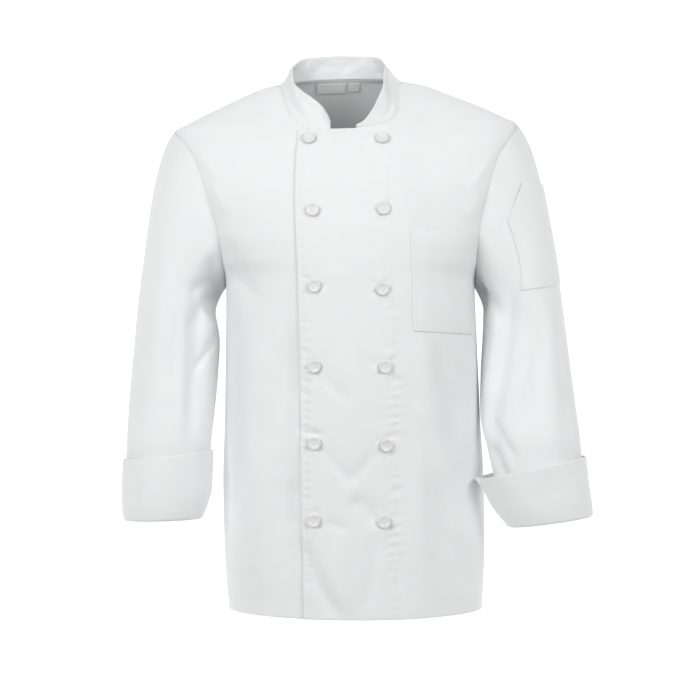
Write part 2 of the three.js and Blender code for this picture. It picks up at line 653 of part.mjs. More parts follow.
// The sleeve's grid from its end up to the armhole, and its wall. Near the shoulder the wall starts
// square to the body's wall, so that the two end face to face.
function sleeveGeometry(side) {
  const { point, loop } = side > 0 ? sleeves.left : sleeves.right;
  const grid = [];
  for (let row = CAP_ROWS + ARM_ROWS; row >= 0; row--) {
    const ring = [];
    for (let column = 0; column < ARM_COLUMNS; column++) ring.push(point(row, column));
    grid.push(ring);
  }
  const normals = gridNormals(grid, true);
  normals.at(-1).forEach((own, column) => {
    const share = clamp(own.dot(loop[column].normal) * HEAD_SQUARE, 0, 1);
    own.lerp(loop[column].normal, share).normalize();
  });
  return wall(grid, CLOTH, normals, true);
}

// A turned-back cuff: a band outside the sleeve end, folded in under it at the bottom.
function cuffGeometry(side) {
  const rows = side > 0 ? LEFT_CUFF : RIGHT_CUFF;
  const at = sections(rows, "drop");
  const height = rows.at(-1).outZ - rows[0].outZ;
  const lip = 1 + CUFF_CLOTH / height;
  const band = (drops, inset) => drops.map((drop) => ({ drop, inset }));
  const path = [
    { drop: lip, inset: CUFF_LIP },
    { drop: 1, inset: CUFF_LIP },
    { drop: 1, inset: CUFF_ROUND },
    { drop: CUFF_FOLD_START, inset: 0 },
    ...band([...CUFF_STEPS].reverse(), 0),
    ...band([0], 0),
    ...band([0, ...CUFF_STEPS], CUFF_CLOTH),
    { drop: lip, inset: CUFF_CLOTH + CUFF_TAPER },
  ];
  const points = [];
  const faces = [];
  for (const { drop, inset } of path)
    for (let j = 0; j < CUFF_COLUMNS; j++)
      points.push(ovalPoint(side, at(drop), (2 * Math.PI * j) / CUFF_COLUMNS, inset));
  for (let i = 0; i < path.length; i++)
    for (let j = 0; j < CUFF_COLUMNS; j++) {
      const next = (j + 1) % CUFF_COLUMNS;
      const above = ((i + 1) % path.length) * CUFF_COLUMNS;
      const a = i * CUFF_COLUMNS + j;
      const b = i * CUFF_COLUMNS + next;
      faces.push(a, b, above + next, a, above + next, above + j);
    }
  return geometryOf(points, faces);
}

// The collar, a band that stands on the neck seam's own points, from its left front end round the
// back to its right front end.
function collarGeometry() {
  const feet = [];
  const leftLap = lapPlaces().filter((x) => x >= COLLAR_END.left - 0.01);
  const rightLap = lapPlaces().filter((x) => x <= -COLLAR_END.right + 0.01);
  const topRow = (grid) => grid.at(-1);
  const left = topRow(grids.left);
  const right = topRow(grids.right);
  const back = topRow(grids.back);
  const firstLeft = lapPlaces().length - leftLap.length;
  leftLap.forEach((x, i) =>
    feet.push({ turn: neckTurnAt(1, x), side: 1, at: left[firstLeft + i] }),
  );
  const leftEnd = neckTurnAt(1, UNDERLAP_EDGE);
  for (let i = 1; i < NECK_COLUMNS; i++) {
    const at = left[lapPlaces().length + i - 1];
    feet.push({ turn: lerp(leftEnd, 90, i / NECK_COLUMNS), side: 1, at });
  }
  for (let i = 0; i <= BACK_NECK_COLUMNS; i++) {
    const turn = 90 + (180 * i) / BACK_NECK_COLUMNS;
    const side = turn < 180 ? 1 : -1;
    feet.push({ turn: turn <= 180 ? turn : 360 - turn, side, at: back[SHOULDER_COLUMNS + i] });
  }
  const rightEnd = neckTurnAt(-1, -OVERLAP_EDGE);
  for (let i = NECK_COLUMNS - 1; i > 0; i--) {
    const at = right[SHOULDER_COLUMNS + NECK_COLUMNS - i];
    feet.push({ turn: lerp(rightEnd, 90, i / NECK_COLUMNS), side: -1, at });
  }
  rightLap.forEach((x, i) =>
    feet.push({
      turn: neckTurnAt(-1, -x),
      side: -1,
      at: right[SHOULDER_COLUMNS + NECK_COLUMNS + i],
    }),
  );
  const grid = [];
  for (let row = 0; row <= COLLAR_ROWS; row++) {
    const share = row / COLLAR_ROWS;
    grid.push(
      feet.map(({ turn, side, at }) => {
        const { rise, lean, aft } = collarTop(side, turn);
        const angle = radians(turn);
        const bulge = COLLAR_BULGE * Math.sin(Math.PI * share) * Math.min(1, rise / COLLAR_FULL_RISE);
        return new THREE.Vector3(
          at.x - side * lean * share + side * Math.sin(angle) * bulge,
          at.y + aft * share - Math.cos(angle) * bulge,
          at.z + SEAM + rise * share,
        );
      }),
    );
  }
  const normals = gridNormals(grid);
  normals[0].forEach((normal) => normal.setZ(0).normalize());
  return wall(grid, COLLAR_CLOTH, normals);
}

// A patch of cloth that lies on a panel, its underside standing off the panel's own points.
function patchGeometry(grid, thick, standoff) {
  const normals = gridNormals(grid);
  return solid(moved(grid, normals, standoff + thick), moved(grid, normals, standoff));
}

// A grid of points from shares across and up.
function shareGrid(columns, rows, pointAt) {
  const grid = [];
  for (let i = 0; i <= rows; i++) {
    const row = [];
    for (let j = 0; j <= columns; j++) row.push(pointAt(j / columns, i / rows));
    grid.push(row);
  }
  return grid;
}

function chestPocketGeometry() {
  const { left, rightTop, rightBottom, top, bottom, slope } = CHEST_POCKET;
  const grid = shareGrid(CHEST_POCKET_GRID, CHEST_POCKET_GRID, (across, up) => {
    const z = lerp(bottom, top, up) - slope * across;
    const half = body(z).half;
    const right = lerp(rightBottom, rightTop, up);
    const x = half * Math.sin(lerp(Math.asin(left / half), Math.asin(right / half), across));
    return bodyPoint(FRONT, x, z, lapAt(x, z));
  });
  return patchGeometry(grid, CLOTH, PATCH);
}

function sleevePocketGeometry() {
  const { topTurn, bottomTurn, backTurn, slant } = SLEEVE_POCKET;
  const { frontTop, backTop, frontBottom, backBottom } = SLEEVE_POCKET;
  const { point } = sleeves.left;
  const grid = shareGrid(SLEEVE_POCKET_GRID, SLEEVE_POCKET_GRID, (across, up) => {
    const turn = lerp(lerp(bottomTurn, topTurn, up), backTurn, across);
    const column = (-turn * ARM_COLUMNS) / 360;
    const top = lerp(frontTop, backTop, Math.min(across / slant, 1));
    const z = lerp(lerp(frontBottom, backBottom, across), top, up);
    return point(solve((row) => -point(row, column).z, -z, 0, CAP_ROWS + ARM_ROWS), column);
  });
  return patchGeometry(grid, CLOTH, PATCH);
}

function labelGeometry({ left, right, top, bottom, drop }) {
  const grid = shareGrid(LABEL_GRID.columns, LABEL_GRID.rows, (across, up) =>
    bodyPoint(BACK, lerp(right, left, across), lerp(bottom, top, up)),
  );
  return patchGeometry(grid, LABEL_CLOTH, -CLOTH - drop);
}

// A button as a turned disc with a raised rim and a dished middle.
function buttonGeometry() {
  const profile = BUTTON_PROFILE.map(
    ({ share, height }) => new THREE.Vector2(share * BUTTON_RADIUS, height),
  );
  return new THREE.LatheGeometry(profile, BUTTON_SIDES);
}

// The overlap's outer face at a place on it, and the way it faces.
function overlapAt(x, z) {
  const point = bodyPoint(FRONT, x, z, LAP);
  const place = (aside, above) => bodyPoint(FRONT, x + aside, z + above, LAP);
  const across = place(BUTTON_SPAN, 0).sub(place(-BUTTON_SPAN, 0));
  const up = place(0, BUTTON_SPAN).sub(place(0, -BUTTON_SPAN));
  return { point, normal: across.cross(up).normalize() };
}

const twill = { color: 0xf4f5f6, roughness: 0.92, metalness: 0 };
const plastic = { color: 0xf1f1ef, roughness: 0.38, metalness: 0 };
const satin = { color: 0xfafafa, roughness: 0.55, metalness: 0 };

const jacket = new THREE.Group();

function add(name, geometry, finish) {
  const mesh = new THREE.Mesh(geometry, new THREE.MeshStandardMaterial(finish));
  mesh.name = name;
  jacket.add(mesh);
  return mesh;
}

add("back", wall(grids.back, CLOTH, panels.back), twill);
add("front_left", wall(grids.left, CLOTH, panels.left), twill);
add("front_right", wall(grids.right, CLOTH, panels.right), twill);
add("collar", collarGeometry(), twill);
for (const [name, side] of [["left", 1], ["right", -1]]) {
  add(`sleeve_${name}`, sleeveGeometry(side), twill);
  add(`cuff_${name}`, cuffGeometry(side), twill);
}
add("chest_pocket", chestPocketGeometry(), twill);
add("sleeve_pocket", sleevePocketGeometry(), twill);
for (const [name, size] of Object.entries(LABELS)) add(name, labelGeometry(size), satin);

for (const [name, places] of Object.entries(BUTTONS))
  places.forEach(({ x, z }, i) => {
    const button = add(`button_${name}_${i + 1}`, buttonGeometry(), plastic);
    const { point, normal } = overlapAt(x, z);
    button.position.copy(point).addScaledVector(normal, BUTTON_SEAT);
    button.quaternion.setFromUnitVectors(new THREE.Vector3(0, 1, 0), normal);
  });

export default jacket;
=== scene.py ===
"""A chef jacket in white cotton twill, filled out as it is worn and empty inside.

The jacket has long sleeves with turned-back cuffs, a double-breasted front with two rows of
buttons, a stand-up collar, a chest pocket and a sleeve pocket. Sizes are millimetres in the tables
and classes, and metres in the meshes. +Z is up, the front faces -Y and the wearer's left is +X.
"""

import logging
import math
from collections.abc import Callable, Sequence
from dataclasses import dataclass, field
from enum import Enum
from types import SimpleNamespace

import bmesh
import bpy
import numpy as np
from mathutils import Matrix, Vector

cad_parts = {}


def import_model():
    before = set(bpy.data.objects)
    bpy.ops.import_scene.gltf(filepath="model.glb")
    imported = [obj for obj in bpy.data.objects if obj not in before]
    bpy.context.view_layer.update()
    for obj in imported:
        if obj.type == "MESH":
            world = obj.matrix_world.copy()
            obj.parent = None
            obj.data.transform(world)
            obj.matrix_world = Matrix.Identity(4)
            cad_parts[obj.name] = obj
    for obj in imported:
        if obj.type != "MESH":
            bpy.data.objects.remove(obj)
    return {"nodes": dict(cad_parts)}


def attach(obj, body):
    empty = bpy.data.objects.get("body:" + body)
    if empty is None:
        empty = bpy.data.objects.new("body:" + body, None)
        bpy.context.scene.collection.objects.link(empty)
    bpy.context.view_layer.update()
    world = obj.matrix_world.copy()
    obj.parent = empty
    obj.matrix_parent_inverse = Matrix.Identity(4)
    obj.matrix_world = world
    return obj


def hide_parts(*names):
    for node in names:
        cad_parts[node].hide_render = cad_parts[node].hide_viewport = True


log = logging.getLogger("chef_jacket")

Array = np.ndarray
Socket = bpy.types.NodeSocket
Colour = tuple[float, float, float]

MILLIMETRE = 0.001

# Cloth and seams
CLOTH = 1.3
COLLAR_CLOTH = 2.4
CUFF_CLOTH = 2.0
LAP = 2.8
PATCH_GAP = 0.25

# Heights that the panels are built on
HEM_Z = -783.0
HEM_DIP = 4.0
UNDERARM_Z = -305.0
TIP_Z = -66.0
FULLNESS = 0.85
FOLD_CALM = 0.9

# The laps, across from the centre line, with the lines that they are sewn along
OVERLAP_EDGE = -75.0
OVERLAP_SEAM = -67.0
FACING_SEAM = 58.0
UNDERLAP_EDGE = 65.0

# By side, 1 for the wearer's left: where the collar ends, and the height of the lap's free top
# edge there and at its corner
COLLAR_END = {1: 10.0, -1: 28.0}
LAP_TOP = {1: (-74.2, -75), -1: (-82, -86)}

# Topstitching
STITCH_LENGTH = 2.3
STITCH_PITCH = 3.0
STITCH_WIDTH = 0.55
STITCH_HEIGHT = 0.3
STITCH_LIFT = 0.1


def side_name(side: int) -> str:
    """Returns which of the wearer's sides a number stands for."""
    return "left" if side > 0 else "right"


def lerp(start: Array, end: Array, share: Array) -> Array:
    """Returns the value a share of the way from start to end."""
    return start + (end - start) * share


def smoothstep(value: Array, low: float, high: float) -> Array:
    """Returns 0 below low, 1 above high and a smooth rise between them."""
    share = np.clip((value - low) / (high - low), 0.0, 1.0)
    return share * share * (3.0 - 2.0 * share)


def unit(vectors: Array) -> Array:
    """Returns the vectors at length 1."""
    return vectors / np.maximum(np.linalg.norm(vectors, axis=-1, keepdims=True), 1e-12)


class Curve:
    """A smooth curve through a table's column: monotone cubic pieces, level beyond both ends."""

    def __init__(self, places: Sequence[float], values: Sequence[float]) -> None:
        """Takes the key column's places and the values there, in any order."""
        order = np.argsort(places)
        self._at = np.asarray(places, float)[order]
        self._value = np.asarray(values, float)[order]
        step = np.diff(self._value) / np.diff(self._at)
        product = step[:-1] * step[1:]
        total = step[:-1] + step[1:]
        inner = np.where(product > 0, 2 * product / np.where(total == 0, 1, total), 0.0)
        self._slope = np.concatenate([step[:1], inner, step[-1:]])

    def __call__(self, place: Array) -> Array:
        """Returns the curve's values at some places."""
        place = np.clip(place, self._at[0], self._at[-1])
        i = np.clip(np.searchsorted(self._at, place, side="right") - 1, 0, len(self._at) - 2)
        width = self._at[i + 1] - self._at[i]
        u = (place - self._at[i]) / width
        ease = u * u * (3 - 2 * u)
        start = u * (1 - u) ** 2 * width * self._slope[i]
        end = u * u * (u - 1) * width * self._slope[i + 1]
        return lerp(self._value[i], self._value[i + 1], ease) + start + end


class Sections:
    """A table of sections, each column a smooth curve over the first one."""

    def __init__(self, names: str, rows: Sequence[Sequence[float]]) -> None:
        """Takes the column names in one string, the key first, and the rows."""
        key, *columns = names.split()
        table = dict(zip([key, *columns], zip(*rows)))
        self._curves = {name: Curve(table[key], table[name]) for name in columns}

    def __call__(self, place: Array) -> SimpleNamespace:
        """Returns every column's values at some places of the key."""
        return SimpleNamespace(**{name: at(place) for name, at in self._curves.items()})


class Unevenness:
    """Smooth seeded unevenness from -1 to 1 over the two directions of a cloth."""

    CELLS = 64

    def __init__(self, seed: int, across: float, along: float) -> None:
        """Takes the seed and the size of one bump each way, in millimetres."""
        self._values = np.random.default_rng(seed).uniform(-1, 1, (self.CELLS, self.CELLS))
        self._across = across
        self._along = along

    def __call__(self, across: Array, along: Array) -> Array:
        """Returns the unevenness at places on the cloth."""
        u, v = np.broadcast_arrays(across / self._across, along / self._along)
        i, j = np.floor(u).astype(int), np.floor(v).astype(int)
        su, sv = smoothstep(u - i, 0, 1), smoothstep(v - j, 0, 1)
        n = self.CELLS
        low = lerp(self._values[i % n, j % n], self._values[(i + 1) % n, j % n], su)
        high = lerp(self._values[i % n, (j + 1) % n], self._values[(i + 1) % n, (j + 1) % n], su)
        return lerp(low, high, sv)


@dataclass(frozen=True)
class Crease:
    """A soft ridge, or trough where out is negative, along a bowed line of a cloth."""

    x1: float
    z1: float
    x2: float
    z2: float
    width: float
    out: float
    bow: float = 0.0
    lean: float = 0.0

    def at(self, across: Array, down: Array) -> Array:
        """Returns how far the crease moves the cloth out at some places."""
        run = np.array([self.x2 - self.x1, self.z2 - self.z1])
        length = float(np.hypot(*run))
        along = ((across - self.x1) * run[0] + (down - self.z1) * run[1]) / length**2
        aside = ((across - self.x1) * run[1] - (down - self.z1) * run[0]) / length
        aside = aside - self.bow * 4 * along * (1 - along)
        ends = smoothstep(along, -0.15, 0.25) * (1 - smoothstep(along, 0.75, 1.15))
        width = self.width * (1 + self.lean * np.tanh(aside / self.width))
        return self.out * ends * np.exp(-((aside / width) ** 2))


def creases(rows: Sequence[Sequence[float]]) -> tuple[Crease, ...]:
    """Returns a crease for each row of a table."""
    return tuple(Crease(*row) for row in rows)


@dataclass(frozen=True)
class Puckers:
    """Short uneven ripples across a seam that its thread has drawn in."""

    pitch: float
    out: float
    reach: float
    slant: float
    seed: int
    groove: float = 0.35

    def at(self, along: Array, aside: Array) -> Array:
        """Returns how far the ripples move the cloth out.

        Args:
            along: Place along the seam.
            aside: Distance from the seam, to either side.

        Returns:
            Millimetres out of the cloth.
        """
        drift = Unevenness(self.seed, self.pitch * 2.3, 1.0)(along, np.zeros_like(along))
        strength = 0.5 + 0.5 * Unevenness(self.seed + 1, self.pitch * 2.1, 9.0)(along, aside)
        phase = 2 * math.pi * (along + self.slant * aside) / self.pitch + 3.4 * drift
        ripple = self.out * strength * np.sin(phase) * np.exp(-((aside / self.reach) ** 2))
        return ripple - self.groove * np.exp(-((aside / 1.8) ** 2))


class Face(Enum):
    """Which side of the body a panel is on: the sign of its depth."""

    FRONT = -1
    BACK = 1


@dataclass
class Sheet:
    """A grid of points on the outer face of a piece of cloth, open or closed around."""

    points: Array
    around: bool = False

    def normals(self) -> Array:
        """Returns the outward normal at each point, from its neighbours."""
        points = self.points
        if self.around:
            across = np.roll(points, -1, axis=1) - np.roll(points, 1, axis=1)
        else:
            across = np.gradient(points, axis=1)
        return unit(np.cross(across, np.gradient(points, axis=0)))

    def moved(self, by: Array | float, normals: Array | None = None) -> Array:
        """Returns the points moved out along their normals."""
        normals = self.normals() if normals is None else normals
        return self.points + normals * np.asarray(by)[..., None]

    def cloth_places(self) -> tuple[Array, Array]:
        """Returns each point's place across and up the flat cloth, in metres."""
        across = np.linalg.norm(np.diff(self.points, axis=1), axis=2).mean(axis=0)
        up = np.linalg.norm(np.diff(self.points, axis=0), axis=2).mean(axis=1)
        u = np.concatenate([[0], np.cumsum(across)]) * MILLIMETRE
        v = np.concatenate([[0], np.cumsum(up)]) * MILLIMETRE
        return np.meshgrid(u, v)

    def measures(self) -> tuple[float, float, float]:
        """Returns the cloth's greatest width and length and its area, in metres."""
        points = self.points * MILLIMETRE
        if self.around:
            points = np.concatenate([points, points[:, :1]], axis=1)
        a = points[1:, 1:] - points[:-1, :-1]
        b = points[1:, :-1] - points[:-1, 1:]
        area = float(np.linalg.norm(np.cross(a, b), axis=2).sum() / 2)
        width = np.linalg.norm(np.diff(points, axis=1), axis=2).sum(axis=1).max()
        length = np.linalg.norm(np.diff(points, axis=0), axis=2).sum(axis=0).max()
        return float(width), float(length), area


@dataclass(frozen=True)
class Cut:
    """What of a piece of cloth shows, laid flat: its width, length and area, in metres."""

    width: float
    length: float
    area: float
    held: str

    def declare(self, thing: bpy.types.Object, sheet: Sheet) -> None:
        """Logs what a piece's sheet measures."""
        log.info("%s: %.3f by %.3f m, %.4f m2", thing.name, *sheet.measures())


@dataclass
class Mesh:
    """Vertices, faces and cloth places gathered for one Blender object."""

    points: list[Array] = field(default_factory=list)
    faces: list[Array] = field(default_factory=list)
    places: list[Array] = field(default_factory=list)
    count: int = 0

    def add(self, points: Array, faces: Array, places: Array | None = None) -> None:
        """Adds a lump of geometry.

        Args:
            points: Vertices, in millimetres.
            faces: Corner numbers within points, four to a face.
            places: Each vertex's place on the flat cloth, in metres.
        """
        points = points.reshape(-1, 3)
        self.points.append(points)
        self.faces.append(faces.reshape(-1, 4) + self.count)
        if places is None:
            places = points[:, [0, 2]] * MILLIMETRE
        self.places.append(places.reshape(-1, 2))
        self.count += len(points)

    def build(self, name: str, finish: bpy.types.Material) -> bpy.types.Object:
        """Makes the Blender object, with its cloth places as a UV map."""
        points = np.concatenate(self.points) * MILLIMETRE
        faces = np.concatenate(self.faces)
        mesh = bpy.data.meshes.new(name)
        mesh.from_pydata(points.tolist(), [], faces.tolist())
        places = np.concatenate(self.places)[faces.ravel()]
        layer = mesh.uv_layers.new(name="cloth")
        layer.uv.foreach_set("vector", places.astype(np.float32).ravel())
        mesh.shade_smooth()
        mesh.validate()
        mesh.materials.append(finish)
        thing = bpy.data.objects.new(name, mesh)
        bpy.context.scene.collection.objects.link(thing)
        return thing


def grid_faces(rows: int, columns: int, around: bool = False, flip: bool = False) -> Array:
    """Returns the quads of a grid of vertices.

    Args:
        rows: Rows of vertices.
        columns: Vertices in a row.
        around: Whether each row closes on itself.
        flip: Whether the quads face the other way.

    Returns:
        Four vertex numbers to a quad.
    """
    i, j = np.meshgrid(
        np.arange(rows - 1), np.arange(columns if around else columns - 1), indexing="ij"
    )
    right = (j + 1) % columns
    quads = [i * columns + j, i * columns + right, (i + 1) * columns + right, (i + 1) * columns + j]
    faces = np.stack(quads, axis=-1).reshape(-1, 4)
    return faces[:, ::-1] if flip else faces


def wall(sheet: Sheet, thick: Array | float, normals: Array | None = None) -> Mesh:
    """Returns a closed wall of cloth inside a sheet, with softly rounded edges.

    Args:
        sheet: The wall's outer face.
        thick: Thickness, one for the whole sheet or one for each point.
        normals: The ways that the points face, where the sheet's own don't serve.

    Returns:
        The wall's mesh.
    """
    rows, columns = sheet.points.shape[:2]
    normals = sheet.normals() if normals is None else normals
    outer = sheet.points
    inner = sheet.moved(-np.broadcast_to(thick, (rows, columns)), normals)
    places = np.stack(sheet.cloth_places(), axis=-1)
    mesh = Mesh()
    mesh.add(outer, grid_faces(rows, columns, sheet.around), places)
    mesh.add(inner, grid_faces(rows, columns, sheet.around, flip=True), places)
    for edge, near, flip in rim_loops(rows, columns, sheet.around):
        flat_out, flat_in = outer.reshape(-1, 3), inner.reshape(-1, 3)
        away = unit(flat_out[edge] - flat_out[near])
        half = np.linalg.norm(flat_out[edge] - flat_in[edge], axis=1, keepdims=True) / 2
        middle = (flat_out[edge] + flat_in[edge]) / 2 + away * half * 0.8
        ring = np.arange(len(edge)) + mesh.count
        loops = np.stack([edge, ring, edge + rows * columns])
        onward = np.roll(loops, -1, axis=1)
        faces = np.concatenate(
            [
                np.stack([loops[k], loops[k + 1], onward[k + 1], onward[k]], axis=-1)
                for k in range(2)
            ]
        )
        faces = (faces[:, ::-1] if flip else faces) - mesh.count
        mesh.add(middle, faces, places.reshape(-1, 2)[edge])
    return mesh


def rim_loops(rows: int, columns: int, around: bool) -> list[tuple[Array, Array, bool]]:
    """Returns each free edge loop of a grid.

    Args:
        rows: Rows of vertices.
        columns: Vertices in a row.
        around: Whether each row closes on itself.

    Returns:
        For each loop, its vertex numbers, those one step inside the grid, and whether it runs
        the other way round.
    """
    i, j = np.arange(rows), np.arange(columns)
    number = np.arange(rows * columns).reshape(rows, columns)
    if around:
        return [(number[0], number[1], False), (number[-1], number[-2], True)]
    edge_i = np.concatenate([0 * j, i[1:], 0 * j[1:] + rows - 1, i[-2:0:-1]])
    edge_j = np.concatenate([j, 0 * i[1:] + columns - 1, j[-2::-1], 0 * i[-2:0:-1]])
    near = number[np.clip(edge_i, 1, rows - 2), np.clip(edge_j, 1, columns - 2)]
    return [(number[edge_i, edge_j], near, False)]


class Body:
    """The jacket's body without its sleeves: the form that its panels and collar follow."""

    ROWS = Sections(
        "z half front back edge turn rise",
        (
            (0, 90.5, 8, 72, 0, 90, 15),
            (-3, 112, 12, 76, 0, 90, 15),
            (-9, 132, 20, 81, 0, 90, 14),
            (-21, 161, 34, 89, 0, 90, 13),
            (-39, 203, 50, 97, 0, 90, 12),
            (-57, 240, 65, 103, 0, 90, 10),
            (-66, 256, 73, 106, 0, 90, 9),
            (-90, 240, 91, 111, 40, 76, 7),
            (-120, 222, 106, 116, 62, 66, 5),
            (-170, 206, 123, 120, 78, 60, 2),
            (-225, 192, 133, 121, 78, 60, 0),
            (-268, 187, 137, 120, 58, 68, 0),
            (-305, 186, 138, 118, 0, 90, 0),
            (-400, 188, 138, 113, 0, 90, 0),
            (-500, 191, 137, 112, 0, 90, 0),
            (-600, 195, 136, 115, 0, 90, 0),
            (-700, 194, 136, 118, 0, 90, 0),
            (-790, 189, 132, 119, 0, 90, 0),
        ),
    )
    STANCE = Sections(
        "z sway tilt twist",
        (
            (0, -4, 0.03, 0.06),
            (-70, 4, 0.02, 0.06),
            (-120, 4, 0.018, 0.02),
            (-200, 6, 0.01, 0),
            (-300, 10, 0, 0),
            (-400, 12, 0, 0),
            (-600, 15, 0, 0),
            (-790, 18, 0, 0),
        ),
    )
    NECK = {
        1: Sections(
            "turn x z",
            (
                (0, 0, -73.5),
                (14, 20, -72.5),
                (26, 36, -70),
                (37, 51.5, -66.5),
                (46, 63.5, -61),
                (54, 71.5, -53.5),
                (65, 78, -37),
                (76, 82, -18),
                (82, 85, -9),
                (90, 90.5, 0),
            ),
        ),
        -1: Sections(
            "turn x z",
            (
                (0, 0, -79),
                (14, 28, -78.5),
                (26, 47, -76.5),
                (37, 62, -72.5),
                (46, 73.5, -66),
                (54, 82, -57),
                (65, 88.5, -40),
                (76, 90, -20),
                (82, 90.3, -10),
                (90, 90.5, 0),
            ),
        ),
    }
    FRONT_CREASES = creases(
        (
            (-84, -385, -131, -560, 22, -5),
            (-92, -590, -93, -660, 16, -4),
            (-150, -420, -160, -720, 20, 3),
            (106, -380, 120, -531, 18, 4),
            (120, -531, 168, -690, 18, 4),
            (126, -395, 157, -510, 15, -4),
            (20, -560, 60, -760, 26, -3),
            (-85, -465, -106, -560, 14, 3.4),
            (-90, -370, -98, -760, 13, -4.2, 2),
            (-117, -500, -136, -762, 16, 3.4, 5),
            (-147, -326, -150, -704, 26, 4.2, -4),
            (-230, -96, -182, -151, 8, 2.4),
            (-208, -139, -168, -201, 9, 2.2, 2),
            (-185, -237, -140, -326, 13, -4.2, 5),
            (-175, -325, -171, -501, 10, -3.4),
            (125, -587, 178, -752, 20, -6, 6),
            (-79, -672, -23, -787, 12, -3.7, 4),
            (-60, -650, -6, -775, 14, 3.4, 5),
            (-6, -614, 34, -646, 15, -5.1, -4),
            (-79, -512, -39, -522, 5, -2.5),
            (-46, -430, -4, -470, 9, -2.2, 3),
            (54, -430, 97, -485, 9, -2.2, -3),
            (-45, -542, -3, -585, 10, -2.7, 3),
            (35, -539, -13, -592, 10, -2.7, -3),
            (51, -653, 78, -759, 10, -3.1, 3),
            (-43, -646, -10, -657, 8, -2.7),
            (-64, -442, -77, -528, 8, -2),
            (-21, -671, -16, -772, 13, 3.1, 3),
            (29, -664, 13, -775, 12, -3.4, -3),
            (231, -108, 179, -161, 8, 2.4),
            (219, -167, 166, -205, 9, 2.2, -2),
            (95, -540, 100, -700, 13, 3.1, 4),
        )
    )
    BACK_CREASES = creases(
        (
            (-60, -250, -95, -760, 28, 5),
            (75, -300, 112, -770, 28, 5),
            (0, -220, 12, -780, 34, -5),
            (-120, -330, -140, -740, 20, -5.1, 6),
            (130, -360, 150, -720, 22, 5.1, -8),
            (-35, -430, -50, -770, 16, 4.2, 3),
            (45, -500, 58, -775, 15, -4.2, -4),
            (-190, -150, -120, -215, 13, 3.1, 5),
            (195, -160, 115, -230, 13, 3.1, -5),
            (-165, -230, -95, -330, 15, -3.7, 8),
            (165, -240, 100, -350, 15, -3.7, -8),
        )
    )

    def __init__(self) -> None:
        """Prepares the inverse tables of the shoulder and the neck seam."""
        drop = np.linspace(TIP_Z, 0, 800)
        self._shoulder = (self.ROWS(drop).half, drop)
        turn = np.linspace(0, 90, 800)
        self._neck = {side: (neck(turn).x, turn) for side, neck in self.NECK.items()}
        self._waves = Unevenness(11, 62, 150)
        self._dents = Unevenness(12, 24, 40)

    def half(self, z: Array) -> Array:
        """Returns the half width at some heights."""
        return self.ROWS(z).half

    def neck_turn(self, side: int, x: Array) -> Array:
        """Returns the degrees round a side's neck seam at distances from the centre front."""
        return np.interp(x, *self._neck[side])

    def shoulder_z(self, x: Array) -> Array:
        """Returns the height of the shoulder seam at places across."""
        half, drop = self._shoulder
        return np.interp(x, half[::-1], drop[::-1])

    def hang(self, x: Array, y: Array, z: Array) -> Array:
        """Returns points of the upright jacket where the jacket hangs."""
        stance = self.STANCE(z)
        return np.stack([x + stance.sway - stance.twist * y, y, z + stance.tilt * x], axis=-1)

    def relief(self, face: Face, x: Array, z: Array) -> Array:
        """Returns how far the creases and unevenness move a panel out."""
        lines = self.FRONT_CREASES if face is Face.FRONT else self.BACK_CREASES
        out = sum(line.at(x, z) for line in lines)
        shift = 0 if face is Face.FRONT else 900
        below = 0.35 + 0.65 * smoothstep(-z, 150, 500)
        out = out + 1.5 * below * self._waves(x + shift, z) + 0.25 * self._dents(x + shift, z)
        row = self.ROWS(z)
        return out * (1 - smoothstep(np.abs(x) / row.half, FOLD_CALM, 1.0))

    def point(self, face: Face, x: Array, z: Array, out: Array | float = 0.0) -> Array:
        """Returns points on the front or back.

        Args:
            face: Front or back.
            x: Places across, from the centre line.
            z: Heights.
            out: How far the points stand out of the body's form.

        Returns:
            The points, in millimetres.
        """
        row = self.ROWS(z)
        turn = np.radians(row.turn)
        sine = np.clip(x / row.half, -1, 1) * np.sin(turn)
        bulge = (np.sqrt(np.maximum(1 - sine**2, 0)) - np.cos(turn)) / (1 - np.cos(turn))
        deep = row.front if face is Face.FRONT else row.back
        depth = row.edge + (deep - row.edge) * np.maximum(bulge, 0) ** FULLNESS
        lift = row.rise * depth / deep if face is Face.BACK else 0.0
        y = face.value * depth
        away = unit(np.stack([x / row.half**2, y / deep**2], axis=-1))
        moved = out + self.relief(face, x, z)
        return self.hang(x + away[..., 0] * moved, y + away[..., 1] * moved, z + lift)

    def heights(self, top: Array, dip: Array, lower: int, upper: int) -> tuple[Array, Array]:
        """Returns the heights of columns of points and how far up the armhole each row is.

        Args:
            top: Where each column ends at the top.
            dip: How much lower each column ends at the hem.
            lower: Rows from the hem to the underarm.
            upper: Rows from the underarm to the top.

        Returns:
            Heights, and shares from the underarm to the shoulder tip.
        """
        down = np.arange(lower)[:, None] / lower
        up = np.arange(upper + 1)[:, None] / upper
        lifted = 0.5 * up + 0.25 * (1 - np.cos(np.pi * up))
        below = lerp(HEM_Z - dip, UNDERARM_Z, down)
        above = lerp(UNDERARM_Z, top, lifted)
        shares = np.concatenate([np.zeros_like(down), lifted])
        return np.concatenate([below, above]), shares

